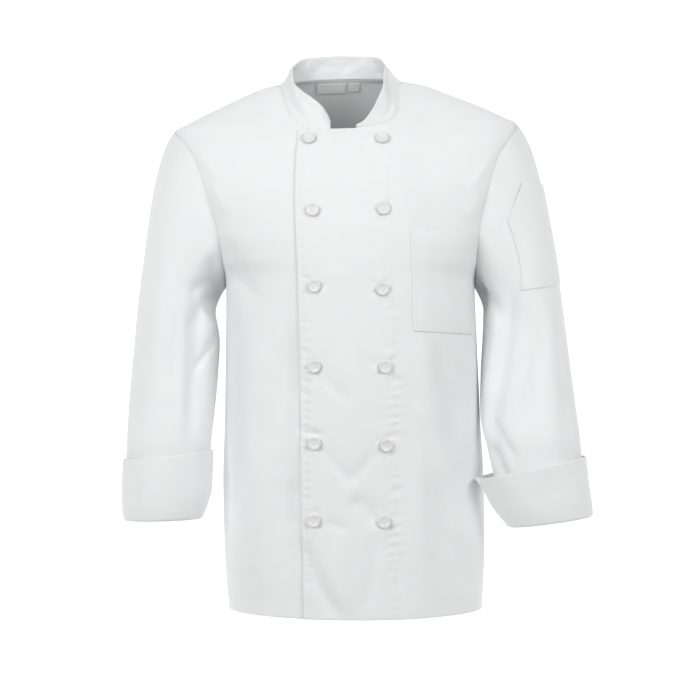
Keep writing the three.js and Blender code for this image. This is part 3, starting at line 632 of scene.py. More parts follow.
    def side_columns(
        self, side: int, top: tuple[Array, Array], ease: Array, inner: float, rows: tuple[int, int]
    ) -> tuple[Array, Array]:
        """Returns the places of a panel's columns from its side seam to its innermost column.

        Args:
            side: 1 for the wearer's left, -1 for the right.
            top: Place across and height of each column's top.
            ease: 0 at the side seam to 1 at the innermost column.
            inner: Where the innermost column stands.
            rows: Rows below and above the underarm.

        Returns:
            Places across and heights.
        """
        top_x, top_z = top
        full = math.asin(inner / float(self.half(UNDERARM_Z)))
        dip = HEM_DIP * np.cos(lerp(math.pi / 2, full, ease)) ** 2
        z, lifted = self.heights(top_z, dip, *rows)
        level = np.minimum(z, UNDERARM_Z)
        inner_at = np.arcsin(np.clip(inner / self.half(level), -1, 1))
        straight = self.half(level) * np.sin(lerp(math.pi / 2, inner_at, ease))
        blended = lerp(straight, top_x, lifted)
        edge = lerp(float(self.half(UNDERARM_Z)), float(self.half(TIP_Z)), lifted)
        pull = np.where(lifted > 0, self.half(lerp(UNDERARM_Z, TIP_Z, lifted)) - edge, 0)
        reach = np.clip((blended - inner) / (edge - inner), 0, 1)
        return side * np.minimum(blended + pull * reach**2, self.half(z)), z

    def shoulder_tops(self, count: int) -> tuple[Array, Array]:
        """Returns where each column of a shoulder ends, from the tip up to the neck."""
        x = lerp(float(self.half(TIP_Z)), float(self.half(0.0)), np.arange(count) / count)
        return x, self.shoulder_z(x)

    def armhole(self, side: int, angle: Array) -> Array:
        """Returns points of an armhole, by the angle round the arm from the shoulder tip."""
        z = lerp(UNDERARM_Z, TIP_Z, (1 + np.cos(angle)) / 2)
        x = side * self.half(z)
        on_back = (np.sin(angle) * side) > 0
        return np.where(
            on_back[..., None], self.point(Face.BACK, x, z), self.point(Face.FRONT, x, z)
        )


# Buttons, from the top: across from the centre line, and height
BUTTONS = {
    "right": (
        (-58.7, -89.5),
        (-50.0, -196.5),
        (-51.6, -306.5),
        (-53.5, -422.0),
        (-55.2, -532.6),
        (-57.1, -644.0),
    ),
    "left": (
        (47.6, -91.0),
        (50.7, -195.4),
        (44.7, -310.8),
        (46.1, -422.7),
        (46.7, -535.4),
        (42.8, -645.2),
    ),
}


def lap_out(x: Array, z: Array) -> Array:
    """Returns how far the overlapping front stands out at places on it."""
    across = 1 - smoothstep(x, 90, 130)
    return LAP * across * (1 - smoothstep(z, -58, -15))


class Paint:
    """A new material: its shader and the patterns that feed it."""

    def __init__(self, name: str, constants: dict[str, float | Colour]) -> None:
        """Makes the material, with constant values on its shader's own sockets."""
        self.material = bpy.data.materials.new(name)
        self.material.use_nodes = True
        self._tree = self.material.node_tree
        self._shader = self._tree.nodes["Principled BSDF"]
        for socket, value in constants.items():
            self._shader.inputs[socket].default_value = value

    def node(self, kind: str, values: dict[str, float], feeds: dict[str, Socket]) -> bpy.types.Node:
        """Adds a node, with some constant inputs and some that other nodes feed."""
        node = self._tree.nodes.new(kind)
        for socket, value in values.items():
            node.inputs[socket].default_value = value
        for socket, source in feeds.items():
            self._tree.links.new(source, node.inputs[socket])
        return node

    def cloth_place(self) -> Socket:
        """Returns places on the flat cloth."""
        place = self.node("ShaderNodeUVMap", {}, {})
        place.uv_map = "cloth"
        return place.outputs["UV"]

    def own_place(self) -> Socket:
        """Returns places in the piece itself."""
        return self.node("ShaderNodeTexCoord", {}, {}).outputs["Object"]

    def noise(self, place: Socket, scale: float, detail: float) -> Socket:
        """Returns a cloudy pattern."""
        values = {"Scale": scale, "Detail": detail}
        return self.node("ShaderNodeTexNoise", values, {"Vector": place}).outputs["Fac"]

    def waves(self, place: Socket, values: dict[str, float], direction: str = "X") -> Socket:
        """Returns a banded pattern."""
        waves = self.node("ShaderNodeTexWave", values, {"Vector": place})
        waves.bands_direction = direction
        return waves.outputs["Fac"]

    def bump(self, height: Socket, strength: float, distance: float, **under: Socket) -> Socket:
        """Returns a relief's normals, laid over those given as Normal."""
        values = {"Strength": strength, "Distance": distance}
        return self.node("ShaderNodeBump", values, {"Height": height, **under}).outputs["Normal"]

    def relief(self, normal: Socket) -> None:
        """Gives the surface a relief's normals."""
        self._tree.links.new(normal, self._shader.inputs["Normal"])

    def roughness(self, value: Socket, low: float, high: float) -> None:
        """Makes the surface's roughness follow a pattern."""
        spread = self.node("ShaderNodeMapRange", {"To Min": low, "To Max": high}, {"Value": value})
        self._tree.links.new(spread.outputs["Result"], self._shader.inputs["Roughness"])

    def shade(self, value: Socket, colour: Colour, dark: float) -> None:
        """Colours the surface by a pattern, from a dark share of a colour up to the colour."""
        node = self.node("ShaderNodeValToRGB", {}, {"Fac": value})
        low, high = node.color_ramp.elements
        low.position, low.color = 0.3, (*(part * dark for part in colour), 1)
        high.position, high.color = 0.7, (*colour, 1)
        self._tree.links.new(node.outputs["Color"], self._shader.inputs["Base Color"])


@dataclass(frozen=True)
class Twill:
    """Cotton twill: matt, with a fine diagonal rib, faint slubs and a little fuzz."""

    name: str
    colour: Colour
    rib: float = 0.00062
    depth: float = 0.00011
    slant: float = math.radians(52)
    roughness: float = 0.86
    sheen: float = 0.25

    def material(self) -> bpy.types.Material:
        """Returns the finish as a material."""
        constants = {"Sheen Roughness": 0.5, "Specular IOR Level": 0.25}
        paint = Paint(self.name, {"Sheen Weight": self.sheen, **constants})
        place = paint.cloth_place()
        slant = {"Rotation": (0, 0, self.slant)}
        turned = paint.node("ShaderNodeMapping", slant, {"Vector": place})
        ribs = {"Scale": 0.314 / self.rib, "Distortion": 0.6, "Detail": 1.0}
        rib = paint.waves(turned.outputs["Vector"], ribs)
        yarn = paint.noise(place, 900, 2)
        height = paint.node("ShaderNodeMix", {"Factor": 0.35}, {"A": rib, "B": yarn})
        height = height.outputs["Result"]
        rumple = paint.noise(place, 38, 4)
        soft = paint.bump(rumple, 0.12, 0.0012)
        paint.relief(paint.bump(height, 0.5, self.depth, Normal=soft))
        paint.shade(rumple, self.colour, 0.985)
        paint.roughness(height, self.roughness - 0.06, self.roughness + 0.08)
        return paint.material


@dataclass(frozen=True)
class Satin:
    """Woven satin of a label: smooth, with fine crosswise threads."""

    name: str
    colour: Colour

    def material(self) -> bpy.types.Material:
        """Returns the finish as a material."""
        paint = Paint(self.name, {"Roughness": 0.5, "Sheen Weight": 0.3})
        thread = paint.waves(paint.cloth_place(), {"Scale": 900, "Distortion": 1.5}, "Y")
        paint.relief(paint.bump(thread, 0.4, 0.00008))
        paint.shade(thread, self.colour, 0.96)
        return paint.material


@dataclass(frozen=True)
class Plastic:
    """Moulded plastic of the buttons: half glossy, faintly clouded and scuffed."""

    name: str
    colour: Colour
    bleed: Colour = (0.001, 0.001, 0.001)

    def material(self) -> bpy.types.Material:
        """Returns the finish as a material."""
        constants = {"Coat Weight": 0.3, "Coat Roughness": 0.2, "Subsurface Weight": 0.1}
        paint = Paint(self.name, {**constants, "Subsurface Radius": self.bleed})
        cloud = paint.noise(paint.own_place(), 220, 5)
        paint.shade(cloud, self.colour, 0.94)
        paint.roughness(cloud, 0.3, 0.5)
        paint.relief(paint.bump(cloud, 0.2, 0.0001))
        return paint.material


@dataclass(frozen=True)
class Thread:
    """Sewing thread: twisted yarn with a soft shine."""

    name: str
    colour: Colour

    def material(self) -> bpy.types.Material:
        """Returns the finish as a material."""
        paint = Paint(self.name, {"Sheen Weight": 0.4})
        twist = paint.noise(paint.own_place(), 1500, 2)
        paint.relief(paint.bump(twist, 0.5, 0.0001))
        paint.shade(twist, self.colour, 0.92)
        paint.roughness(twist, 0.6, 0.8)
        return paint.material


@dataclass(frozen=True)
class CovePaint:
    """Matt white paint of the cove, which glows so that it stays evenly pale."""

    name: str
    colour: Colour = (0.4, 0.4, 0.4)

    def material(self) -> bpy.types.Material:
        """Returns the finish as a material."""
        glow = {"Emission Color": (1, 1, 1, 1), "Emission Strength": 0.85}
        paint = Paint(self.name, {"Roughness": 0.9, **glow})
        clouds = paint.node("ShaderNodeTexNoise", {"Scale": 3}, {})
        paint.shade(clouds.outputs["Fac"], self.colour, 0.99)
        return paint.material


class Wardrobe:
    """The finishes that the pieces share, and how a piece joins the jacket."""

    def __init__(self) -> None:
        """Makes each finish once."""
        self.twill = Twill("white_twill", (0.84, 0.845, 0.85)).material()
        self.satin = Satin("label_satin", (0.88, 0.88, 0.88)).material()
        self.plastic = Plastic("button_plastic", (0.8, 0.8, 0.79)).material()
        self.thread = Thread("sewing_thread", (0.84, 0.84, 0.84)).material()

    def join(self, thing: bpy.types.Object, slot: str, *nodes: str) -> bpy.types.Object:
        """Makes a piece ride with the jacket, in place of the solids that it stands for."""
        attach(thing, "root")
        if nodes:
            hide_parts(*nodes)
        log.info("%s: %d faces", thing.name, len(thing.data.polygons))
        return thing


class Seams:
    """Rows of topstitching, gathered into one piece of thread for each panel."""

    SIDES = 6
    RINGS = ((-0.5, 0.25), (-0.32, 0.85), (0.0, 1.0), (0.32, 0.85), (0.5, 0.25))

    def __init__(self) -> None:
        """Starts with no stitches."""
        self._mesh = Mesh()

    def row(self, points: Array, normals: Array, lift: float = STITCH_LIFT) -> None:
        """Adds a row of stitches along a line on a surface.

        Args:
            points: The line's points.
            normals: The surface's normals there.
            lift: How far the stitches' middles lie above the surface.
        """
        steps = np.linalg.norm(np.diff(points, axis=0), axis=1)
        length = np.concatenate([[0], np.cumsum(steps)])
        places = np.arange(STITCH_PITCH / 2, length[-1], STITCH_PITCH)
        if not len(places):
            return

        def read(values: Array, at: Array) -> Array:
            return np.stack([np.interp(at, length, column) for column in values.T], axis=-1)

        middle = read(points, places)
        ahead = read(points, np.minimum(places + STITCH_LENGTH / 2, length[-1]))
        behind = read(points, np.maximum(places - STITCH_LENGTH / 2, 0))
        up = unit(read(normals, places))
        along = unit(ahead - behind)
        side = unit(np.cross(up, along))
        angles = np.arange(self.SIDES) * 2 * np.pi / self.SIDES
        ring_at, ring_size = np.array(self.RINGS).T
        forward = ring_at[:, None] * STITCH_LENGTH * np.ones(self.SIDES)
        wide = ring_size[:, None] * np.cos(angles) * STITCH_WIDTH / 2
        high = ring_size[:, None] * np.sin(angles) * STITCH_HEIGHT / 2
        shape = (
            forward[None, ..., None] * along[:, None, None]
            + wide[None, ..., None] * side[:, None, None]
            + high[None, ..., None] * up[:, None, None]
        )
        centre = middle + up * lift
        rings = len(self.RINGS)
        tube = grid_faces(rings, self.SIDES, around=True, flip=True)
        near = np.arange(self.SIDES)
        far = near[::-1] + (rings - 1) * self.SIDES
        caps = [ring[[0, *half]] for ring in (near, far) for half in ((1, 2, 3), (3, 4, 5))]
        faces = np.concatenate([tube, np.array(caps)])
        each = np.arange(len(places))[:, None, None] * rings * self.SIDES
        self._mesh.add(centre[:, None, None] + shape, faces[None] + each)

    def build(self, name: str, wardrobe: Wardrobe) -> bpy.types.Object:
        """Makes the thread's object."""
        return wardrobe.join(self._mesh.build(name, wardrobe.thread), "twill")


@dataclass
class Panel:
    """A cloth panel of the body: its grid, what it is cut to and how it is stitched."""

    body: Body
    wardrobe: Wardrobe
    lower_rows: int = 150
    upper_rows: int = 80

    @property
    def rows(self) -> tuple[int, int]:
        """Returns the rows below and above the underarm."""
        return self.lower_rows, self.upper_rows


@dataclass
class Back(Panel):
    """The back panel, from shoulder to shoulder and down to the hem."""

    shoulder_columns: int = 44
    neck_columns: int = 60

    def places(self) -> tuple[Array, Array]:
        """Returns the places across and heights of the panel's grid."""
        top_x, top_z = self.body.shoulder_tops(self.shoulder_columns)
        half_neck = self.neck_columns // 2
        angle = math.pi / 2 * (1 - np.arange(half_neck + 1) / half_neck)
        top_x = np.concatenate([top_x, float(self.body.half(0.0)) * np.sin(angle)])
        top_z = np.concatenate([top_z, np.zeros(half_neck + 1)])
        ease = np.arange(len(top_x)) / (len(top_x) - 1)
        x, z = self.body.side_columns(1, (top_x, top_z), ease, 0.0, self.rows)
        return (
            np.concatenate([x, -x[:, -2::-1]], axis=1),
            np.concatenate([z, z[:, -2::-1]], axis=1),
        )

    def build(self) -> None:
        """Makes the panel and its hem stitching."""
        x, z = self.places()
        sheet = Sheet(self.body.point(Face.BACK, x, z))
        panel = wall(sheet, CLOTH).build("back_panel", self.wardrobe.twill)
        self.wardrobe.join(panel, "twill", "back")
        Cut(0.62, 0.84, 0.4, "hung").declare(panel, sheet)
        seams = Seams()
        seams.row(*hem_row(sheet), lift=0.0)
        seams.build("back_stitching", self.wardrobe)


def hem_row(sheet: Sheet, up: float = 24.0) -> tuple[Array, Array]:
    """Returns the points and normals of a panel's hem stitching, above its lower edge."""
    normals = sheet.normals()
    rise = np.linalg.norm(np.diff(sheet.points[:20], axis=0), axis=2).mean(axis=1)
    row = int(np.searchsorted(np.cumsum(rise), up))
    return sheet.points[row] + normals[row] * STITCH_LIFT, normals[row]


@dataclass
class Front(Panel):
    """A front panel. The wearer's left one carries the overlap and lies on top."""

    side: int = 1
    shoulder_columns: int = 40
    neck_columns: int = 16
    lap_step: float = 2.0

    def lap_top(self, x: Array) -> Array:
        """Returns where the lap's columns end: at the neck seam, then at the free top edge."""
        end, corner = LAP_TOP[self.side]
        far = OVERLAP_EDGE if self.side > 0 else UNDERLAP_EDGE
        start = self.side * COLLAR_END[self.side]
        free = lerp(end, corner, (start - x) / (start - far))
        seam = self.body.NECK[self.side](self.body.neck_turn(self.side, np.abs(x))).z
        return np.where(self.side * (x - start) >= -0.01, seam, free)

    def places(self) -> tuple[Array, Array]:
        """Returns the places across and heights of the panel's grid, left to right."""
        inner = UNDERLAP_EDGE if self.side > 0 else -OVERLAP_EDGE
        x1, z1 = self.body.shoulder_tops(self.shoulder_columns)
        end = float(self.body.neck_turn(self.side, inner))
        share = np.arange(self.neck_columns) / self.neck_columns
        neck = self.body.NECK[self.side](lerp(90, end, share))
        top = np.concatenate([x1, neck.x]), np.concatenate([z1, neck.z])
        ease = np.arange(len(top[0])) / len(top[0])
        x, z = self.body.side_columns(self.side, top, ease, inner, self.rows)
        count = round((UNDERLAP_EDGE - OVERLAP_EDGE) / self.lap_step)
        edge = OVERLAP_EDGE if self.side > 0 else UNDERLAP_EDGE
        lap = np.linspace(self.side * inner, edge, count)
        dip = HEM_DIP * (1 - (lap / float(self.body.half(HEM_Z))) ** 2)
        lap_z, _ = self.body.heights(self.lap_top(lap), dip, *self.rows)
        x = np.concatenate([x, np.broadcast_to(lap, lap_z.shape)], axis=1)
        z = np.concatenate([z, lap_z], axis=1)
        return (x[:, ::-1], z[:, ::-1]) if self.side > 0 else (x, z)

    def out(self, x: Array, z: Array) -> Array:
        """Returns how far the panel stands out of the body's form."""
        if self.side < 0:
            return np.zeros_like(x)
        edge = Puckers(12, 1.3, 10, 0.15, 31).at(z, x - OVERLAP_SEAM)
        facing = Puckers(15, 1.4, 11, -0.2, 37).at(z, x - FACING_SEAM)
        low = smoothstep(-z, 250, 420)
        pulls = sum(
            button_pull(x - at, z - height, number)
            for number, (at, height) in enumerate([*BUTTONS["right"], *BUTTONS["left"]])
        )
        return lap_out(x, z) + edge * lerp(0.35, 1.0, low) + facing * low + pulls

    def build(self) -> None:
        """Makes the panel with its stitching."""
        x, z = self.places()
        sheet = Sheet(self.body.point(Face.FRONT, x, z, self.out(x, z)))
        name = f"front_{side_name(self.side)}"
        panel = wall(sheet, CLOTH).build(f"{name}_panel", self.wardrobe.twill)
        self.wardrobe.join(panel, "twill", name)
        Cut(0.43, 0.83, 0.245, "hung").declare(panel, sheet)
        seams = Seams()
        seams.row(*hem_row(sheet), lift=0.0)
        if self.side > 0:
            normals = sheet.normals()
            for line in (OVERLAP_SEAM, FACING_SEAM):
                column = int(np.argmin(np.abs(x[0] - line)))
                seams.row(sheet.points[:-2, column], normals[:-2, column])
        seams.build(f"{name}_stitching", self.wardrobe)


def button_pull(aside: Array, above: Array, number: int) -> Array:
    """Returns how a button's thread draws the cloth round it: a dent with uneven rays."""
    away = np.hypot(aside, above)
    angle = np.arctan2(above, aside)
    turn = np.random.default_rng(60 + number).uniform(0, 2 * np.pi, 3)
    rays = np.sin(3 * angle + turn[0]) + 0.8 * np.sin(5 * angle + turn[1])
    rays = rays + 0.5 * np.sin(2 * angle + turn[2])
    ring = smoothstep(away, 6, 13) * np.exp(-((np.maximum(away - 12, 0) / 9) ** 2))
    return 0.8 * rays * ring - 1.1 * np.exp(-((away / 13) ** 2))


@dataclass
class Collar:
    """The stand-up collar, a band on the neck seam that is open at the front."""

    body: Body
    wardrobe: Wardrobe
    columns: int = 220
    rows: int = 18
    bulge: float = 2.5
    full_rise: float = 30.0
    TOP = {
        1: Sections(
            "turn rise lean aft",
            (
                (6, 3, -1, -1.5),
                (14, 7, 1, -1),
                (26, 16.5, 6.5, 0),
                (37, 25, 14, 3),
                (46, 31.5, 20, 7),
                (54, 35.5, 22.5, 11),
                (65, 33, 22.5, 13),
                (78, 27, 21, 12),
                (90, 25.5, 22.5, 12),
                (110, 28, 17.5, 7),
                (135, 33.5, 6, 3),
                (180, 35.3, 0, -2),
            ),
        ),
        -1: Sections(
            "turn rise lean aft",
            (
                (14, 17, 0.5, 15.5),
                (20, 26.5, 5.5, 16),
                (26, 34, 9, 14),
                (37, 40.5, 13.5, 11.5),
                (46, 42.5, 14.5, 11),
                (54, 42.5, 12.5, 12),
                (65, 38.5, 10.5, 14),
                (78, 30.5, 13, 12),
                (90, 28, 16.5, 12),
                (110, 29, 15.5, 7),
                (135, 35, 10, 3),
                (180, 35.3, 0, -2),
            ),
        ),
    }

    # Degrees round the neck from the left front end, and height above the seam
    CREASES = creases(
        (
            (152, 28, 170, 4, 4.5, -1.6),
            (163, 32, 176, 10, 4, 1.2),
            (186, 30, 179, 8, 5, -1.3),
            (196, 26, 207, 6, 5, 1.3),
            (212, 30, 218, 4, 5, -1.4),
            (140, 30, 136, 6, 5, 1.3),
            (122, 26, 112, 6, 5, -1.2),
            (236, 28, 246, 6, 5, 1.2),
            (100, 24, 84, 10, 4, 1.3),
            (84, 24, 62, 12, 4, -1.4, 2),
            (70, 30, 46, 22, 4, 1.3, 2),
            (60, 14, 34, 6, 3.5, -1.2),
            (262, 26, 276, 9, 4, 1.3),
            (276, 22, 300, 12, 4.5, -1.5, 2),
            (290, 34, 318, 24, 5, 1.4, 2),
            (300, 14, 326, 8, 4, -1.4),
            (312, 36, 334, 16, 4, -1.2),
        )
    )

    def feet(self, turn: Array) -> Array:
        """Returns the neck seam's points, by degrees from the left front end to the right one."""
        side = np.where(turn < 180, 1.0, -1.0)
        folded = np.where(turn <= 180, turn, 360 - turn)
        neck = self.either(turn, self.body.NECK, np.minimum(folded, 90))
        front_x = side * neck.x
        out = np.where(side > 0, lap_out(front_x, neck.z), 0)
        front = self.body.point(Face.FRONT, front_x, neck.z, out)
        across = side * float(self.body.half(0.0)) * np.sin(np.radians(folded))
        back = self.body.point(Face.BACK, across, np.zeros_like(across))
        return np.where((folded <= 90)[..., None], front, back)

    @staticmethod
    def either(turn: Array, tables: dict[int, Sections], place: Array) -> SimpleNamespace:
        """Returns each column's values from the table of the side that it is on."""
        left, right = vars(tables[1](place)), vars(tables[-1](place))
        return SimpleNamespace(
            **{name: np.where(turn < 180, left[name], right[name]) for name in left}
        )

    def build(self) -> None:
        """Makes the band and its two rows of stitching."""
        start, end = (float(self.body.neck_turn(k, COLLAR_END[k])) for k in (1, -1))
        turn = np.linspace(start, 360 - end, self.columns)
        foot = self.feet(turn)
        side = np.where(turn < 180, 1.0, -1.0)
        folded = np.where(turn <= 180, turn, 360 - turn)
        top = self.either(turn, self.TOP, folded)
        share = np.linspace(0, 1, self.rows)[:, None]
        angle = np.radians(folded)
        bulge = self.bulge * np.sin(np.pi * share) * np.minimum(1, top.rise / self.full_rise)
        bulge = bulge * np.cos(2 * angle)
        points = np.stack(
            [
                foot[:, 0] - side * top.lean * share + side * np.sin(angle) * bulge,
                foot[:, 1] + top.aft * share - np.cos(angle) * bulge,
                foot[:, 2] + 0.2 + top.rise * share,
            ],
            axis=-1,
        )
        rise = top.rise * share
        relief = sum(crease.at(turn, rise) for crease in self.CREASES)
        relief = relief + Unevenness(71, 9, 5)(turn, rise) * 0.5
        sheet = Sheet(Sheet(points).moved(relief))
        band = wall(sheet, COLLAR_CLOTH).build("collar_band", self.wardrobe.twill)
        self.wardrobe.join(band, "twill", "collar")
        Cut(0.55, 0.043, 0.0166, "stretched").declare(band, sheet)
        seams = Seams()
        normals = sheet.normals()
        for row in (2, self.rows - 4):
            seams.row(sheet.points[row], normals[row])
        seams.build("collar_stitching", self.wardrobe)


@dataclass
class Sleeve:
    """A set-in sleeve: a head from the armhole to the upper arm, then the arm's oval sections."""

    body: Body
    wardrobe: Wardrobe
    side: int
    columns: int = 140
    head_rows: int = 44
    arm_rows: int = 110
    HEAD: int = 6
    ARM: int = 12
    STEPS: int = 6
    ARM_SCALE: float = 1.15
    RIGHT = Sections(
        "step outX outZ inX inZ y deep",
        (
            (0, -298, -249, -191, -347, 0, 74),
            (1, -307, -324, -185, -388, -5, 69),
            (2, -313, -399, -187, -430, -14, 62),
            (3, -318, -473, -190, -476, -30, 56),
            (4, -320, -546, -195, -538, -51, 49),
            (5, -320.5, -605, -199, -600, -57, 45),
            (6, -319.5, -645, -211.5, -642, -59, 39.5),
        ),
    )
    LEFT = Sections(
        "step outX outZ inX inZ y deep",
        (
            (0, 314, -249, 210, -345, 0, 74),
            (1, 326, -324, 208, -388, -9, 69),
            (2, 335, -399, 205, -432, -24, 63),
            (3, 343, -473, 203, -494, -46, 56),
            (4, 348.5, -531, 212, -546, -69, 48),
            (5, 354, -600, 229, -612, -77, 44),
            (6, 360.5, -637, 244.5, -653.5, -79, 37),
        ),
    )
    RIGHT_CREASES = creases(
        (
            (122, -262, 162, -352, 15, -9),
            (60, -300, 80, -520, 22, 3),
            (150, -290, 114, -312, 11, -6.8),
            (170, -305, 108, -369, 11, -6, 4),
            (120, -325, 124, -530, 14, -5.1, 3),
            (101, -330, 104, -530, 12, 3.4, 3),
            (86, -340, 90, -529, 11, -2.5, -2),
            (158, -384, 122, -430, 7, -4.4, 3),
            (166, -368, 136, -394, 6, -3.4, 2),
            (45, -200, 58, -300, 14, -2.5, 3),
            (30, -400, 42, -530, 14, -2.7),
            (250, -330, 235, -520, 20, 5.1),
            (205, -300, 225, -420, 15, -6.8),
            (290, -260, 300, -480, 22, -5.1),
        )
    )
    LEFT_CREASES = creases(
        (
            (150, -275, 172, -340, 13, -7),
            (100, -310, 137, -473, 17, -8),
            (137, -473, 160, -570, 17, -6),
            (55, -320, 70, -540, 20, 4),
            (88, -340, 112, -444, 12, -4.2, 3),
            (112, -318, 148, -490, 14, -5.5, 4),
            (134, -352, 156, -471, 11, 4.2, 3),
            (70, -355, 92, -530, 13, -3.1, -3),
            (165, -295, 128, -352, 11, -5.1, 3),
            (150, -500, 120, -560, 9, -3.4, 3),
            (168, -540, 138, -585, 8, -3.4, 2),
            (30, -380, 44, -520, 14, -2.7),
            (250, -330, 235, -520, 20, 5.1),
            (205, -300, 225, -420, 15, -6.8),
            (290, -260, 300, -480, 22, -5.1),
        )
    )

    def __post_init__(self) -> None:
        """Scales the creases from degrees round the arm to millimetres."""
        lines = self.LEFT_CREASES if self.side > 0 else self.RIGHT_CREASES
        scale = self.ARM_SCALE
        self._lines = tuple(
            Crease(c.x1 * scale, c.z1, c.x2 * scale, c.z2, c.width, c.out, c.bow, c.lean)
            for c in lines
        )
        self._sections = self.LEFT if self.side > 0 else self.RIGHT
        self._waves = Unevenness(21 if self.side > 0 else 22, 45, 90)

    def oval(self, step: Array, angle: Array) -> Array:
        """Returns points of the arm's oval sections, by the angle from their outer edges."""
        return oval_point(self.side, self._sections(step), angle)

    def relief(self, degrees: Array, z: Array) -> Array:
        """Returns how far creases and unevenness move the sleeve out."""
        around = degrees * self.ARM_SCALE
        out = sum(line.at(around, z) for line in self._lines)
        blend = smoothstep(np.abs(degrees - 180), 120, 180)
        waves = lerp(self._waves(around, z), self._waves(0 * around, z), blend)
        return out + 1.3 * waves

    def point(self, row: Array, angle: Array) -> Array:
        """Returns points of the sleeve.

        Args:
            row: 0 at the armhole, HEAD at the upper arm, HEAD + ARM at the sleeve's end.
            angle: Round the arm from its outer edge.

        Returns:
            The points, in millimetres.
        """
        row, angle = np.broadcast_arrays(np.asarray(row, float), np.asarray(angle, float))
        step = np.clip(self.STEPS * (row - self.HEAD) / self.ARM, 0, self.STEPS)
        arm = self.oval(step, angle)
        plain = np.where((row >= self.HEAD)[..., None], arm, self._head(row / self.HEAD, angle))
        degrees = np.mod(-self.side * np.degrees(angle), 360)
        out = self.relief(degrees, plain[..., 2]) * smoothstep(row, 0.5, 2)
        return plain + outward_at(self.side, angle) * out[..., None]

    def _head(self, share: Array, angle: Array) -> Array:
        """Returns points of the sleeve head on one cubic curve for each angle."""
        start = self.body.armhole(self.side, angle)
        end = self.oval(0 * angle, angle)
        onward = unit(self.oval(0 * angle + 0.02, angle) - end)
        height = np.clip((start[..., 2] - UNDERARM_Z) / (TIP_Z - UNDERARM_Z), 0, 1)
        slope = np.radians(lerp(62, 45, height))
        outward = np.stack([self.side * np.cos(slope), 0 * slope, -np.sin(slope)], axis=-1)
        span = np.linalg.norm(start - end, axis=-1, keepdims=True)
        origin = start + outward * 0.05
        first = origin + outward * span * 0.22
        second = end - onward * span * 0.33
        t = np.clip(share, 0, 1)[..., None]
        s = 1 - t
        return s**3 * origin + 3 * s * s * t * first + 3 * s * t * t * second + t**3 * end

    def build(self) -> None:
        """Makes the sleeve."""
        head = np.linspace(0, self.HEAD, self.head_rows, endpoint=False)
        arm = np.linspace(self.HEAD, self.HEAD + self.ARM, self.arm_rows)
        row = np.concatenate([head, arm])[::-1, None]
        angle = (np.arange(self.columns) * 2 * np.pi / self.columns)[None]
        sheet = Sheet(self.point(row, angle), around=True)
        name = f"sleeve_{side_name(self.side)}"
        tube = wall(sheet, CLOTH).build(f"{name}_tube", self.wardrobe.twill)
        self.wardrobe.join(tube, "twill", name)
        Cut(0.65, 0.6, 0.195, "hung").declare(tube, sheet)


def oval_point(side: int, row: SimpleNamespace, angle: Array, inset: Array | float = 0.0) -> Array:
    """Returns points of an oval section between its outer and inner edge points.

    Args:
        side: 1 for the wearer's left, -1 for the right.
        row: The section's outX, outZ, inX, inZ, y and deep.
        angle: Round the section from its outer edge.
        inset: How far inside the oval the points lie.

    Returns:
        The points, in millimetres.
    """
    out = np.stack([row.outX, row.y, row.outZ], axis=-1)
    inside = np.stack([row.inX, row.y, row.inZ], axis=-1)
    half = (out - inside) / 2
    length = np.linalg.norm(half, axis=-1)
    half = half * ((length - inset) / length)[..., None]
    point = (out + inside) / 2 + half * np.cos(angle)[..., None]
    point[..., 1] += side * np.sin(angle) * (row.deep - inset)
    return point


def outward_at(side: int, angle: Array) -> Array:
    """Returns the level ways out of a sleeve or cuff, by the angle from its outer edge."""
    return side * np.stack([np.cos(angle), np.sin(angle), 0 * angle], axis=-1)


def blend_round(angle: Array) -> Array:
    """Returns 1 round a tube, falling to 0 where its angle starts again."""
    return smoothstep(np.pi - np.abs(np.mod(angle, 2 * np.pi) - np.pi), 0.0, 0.35)


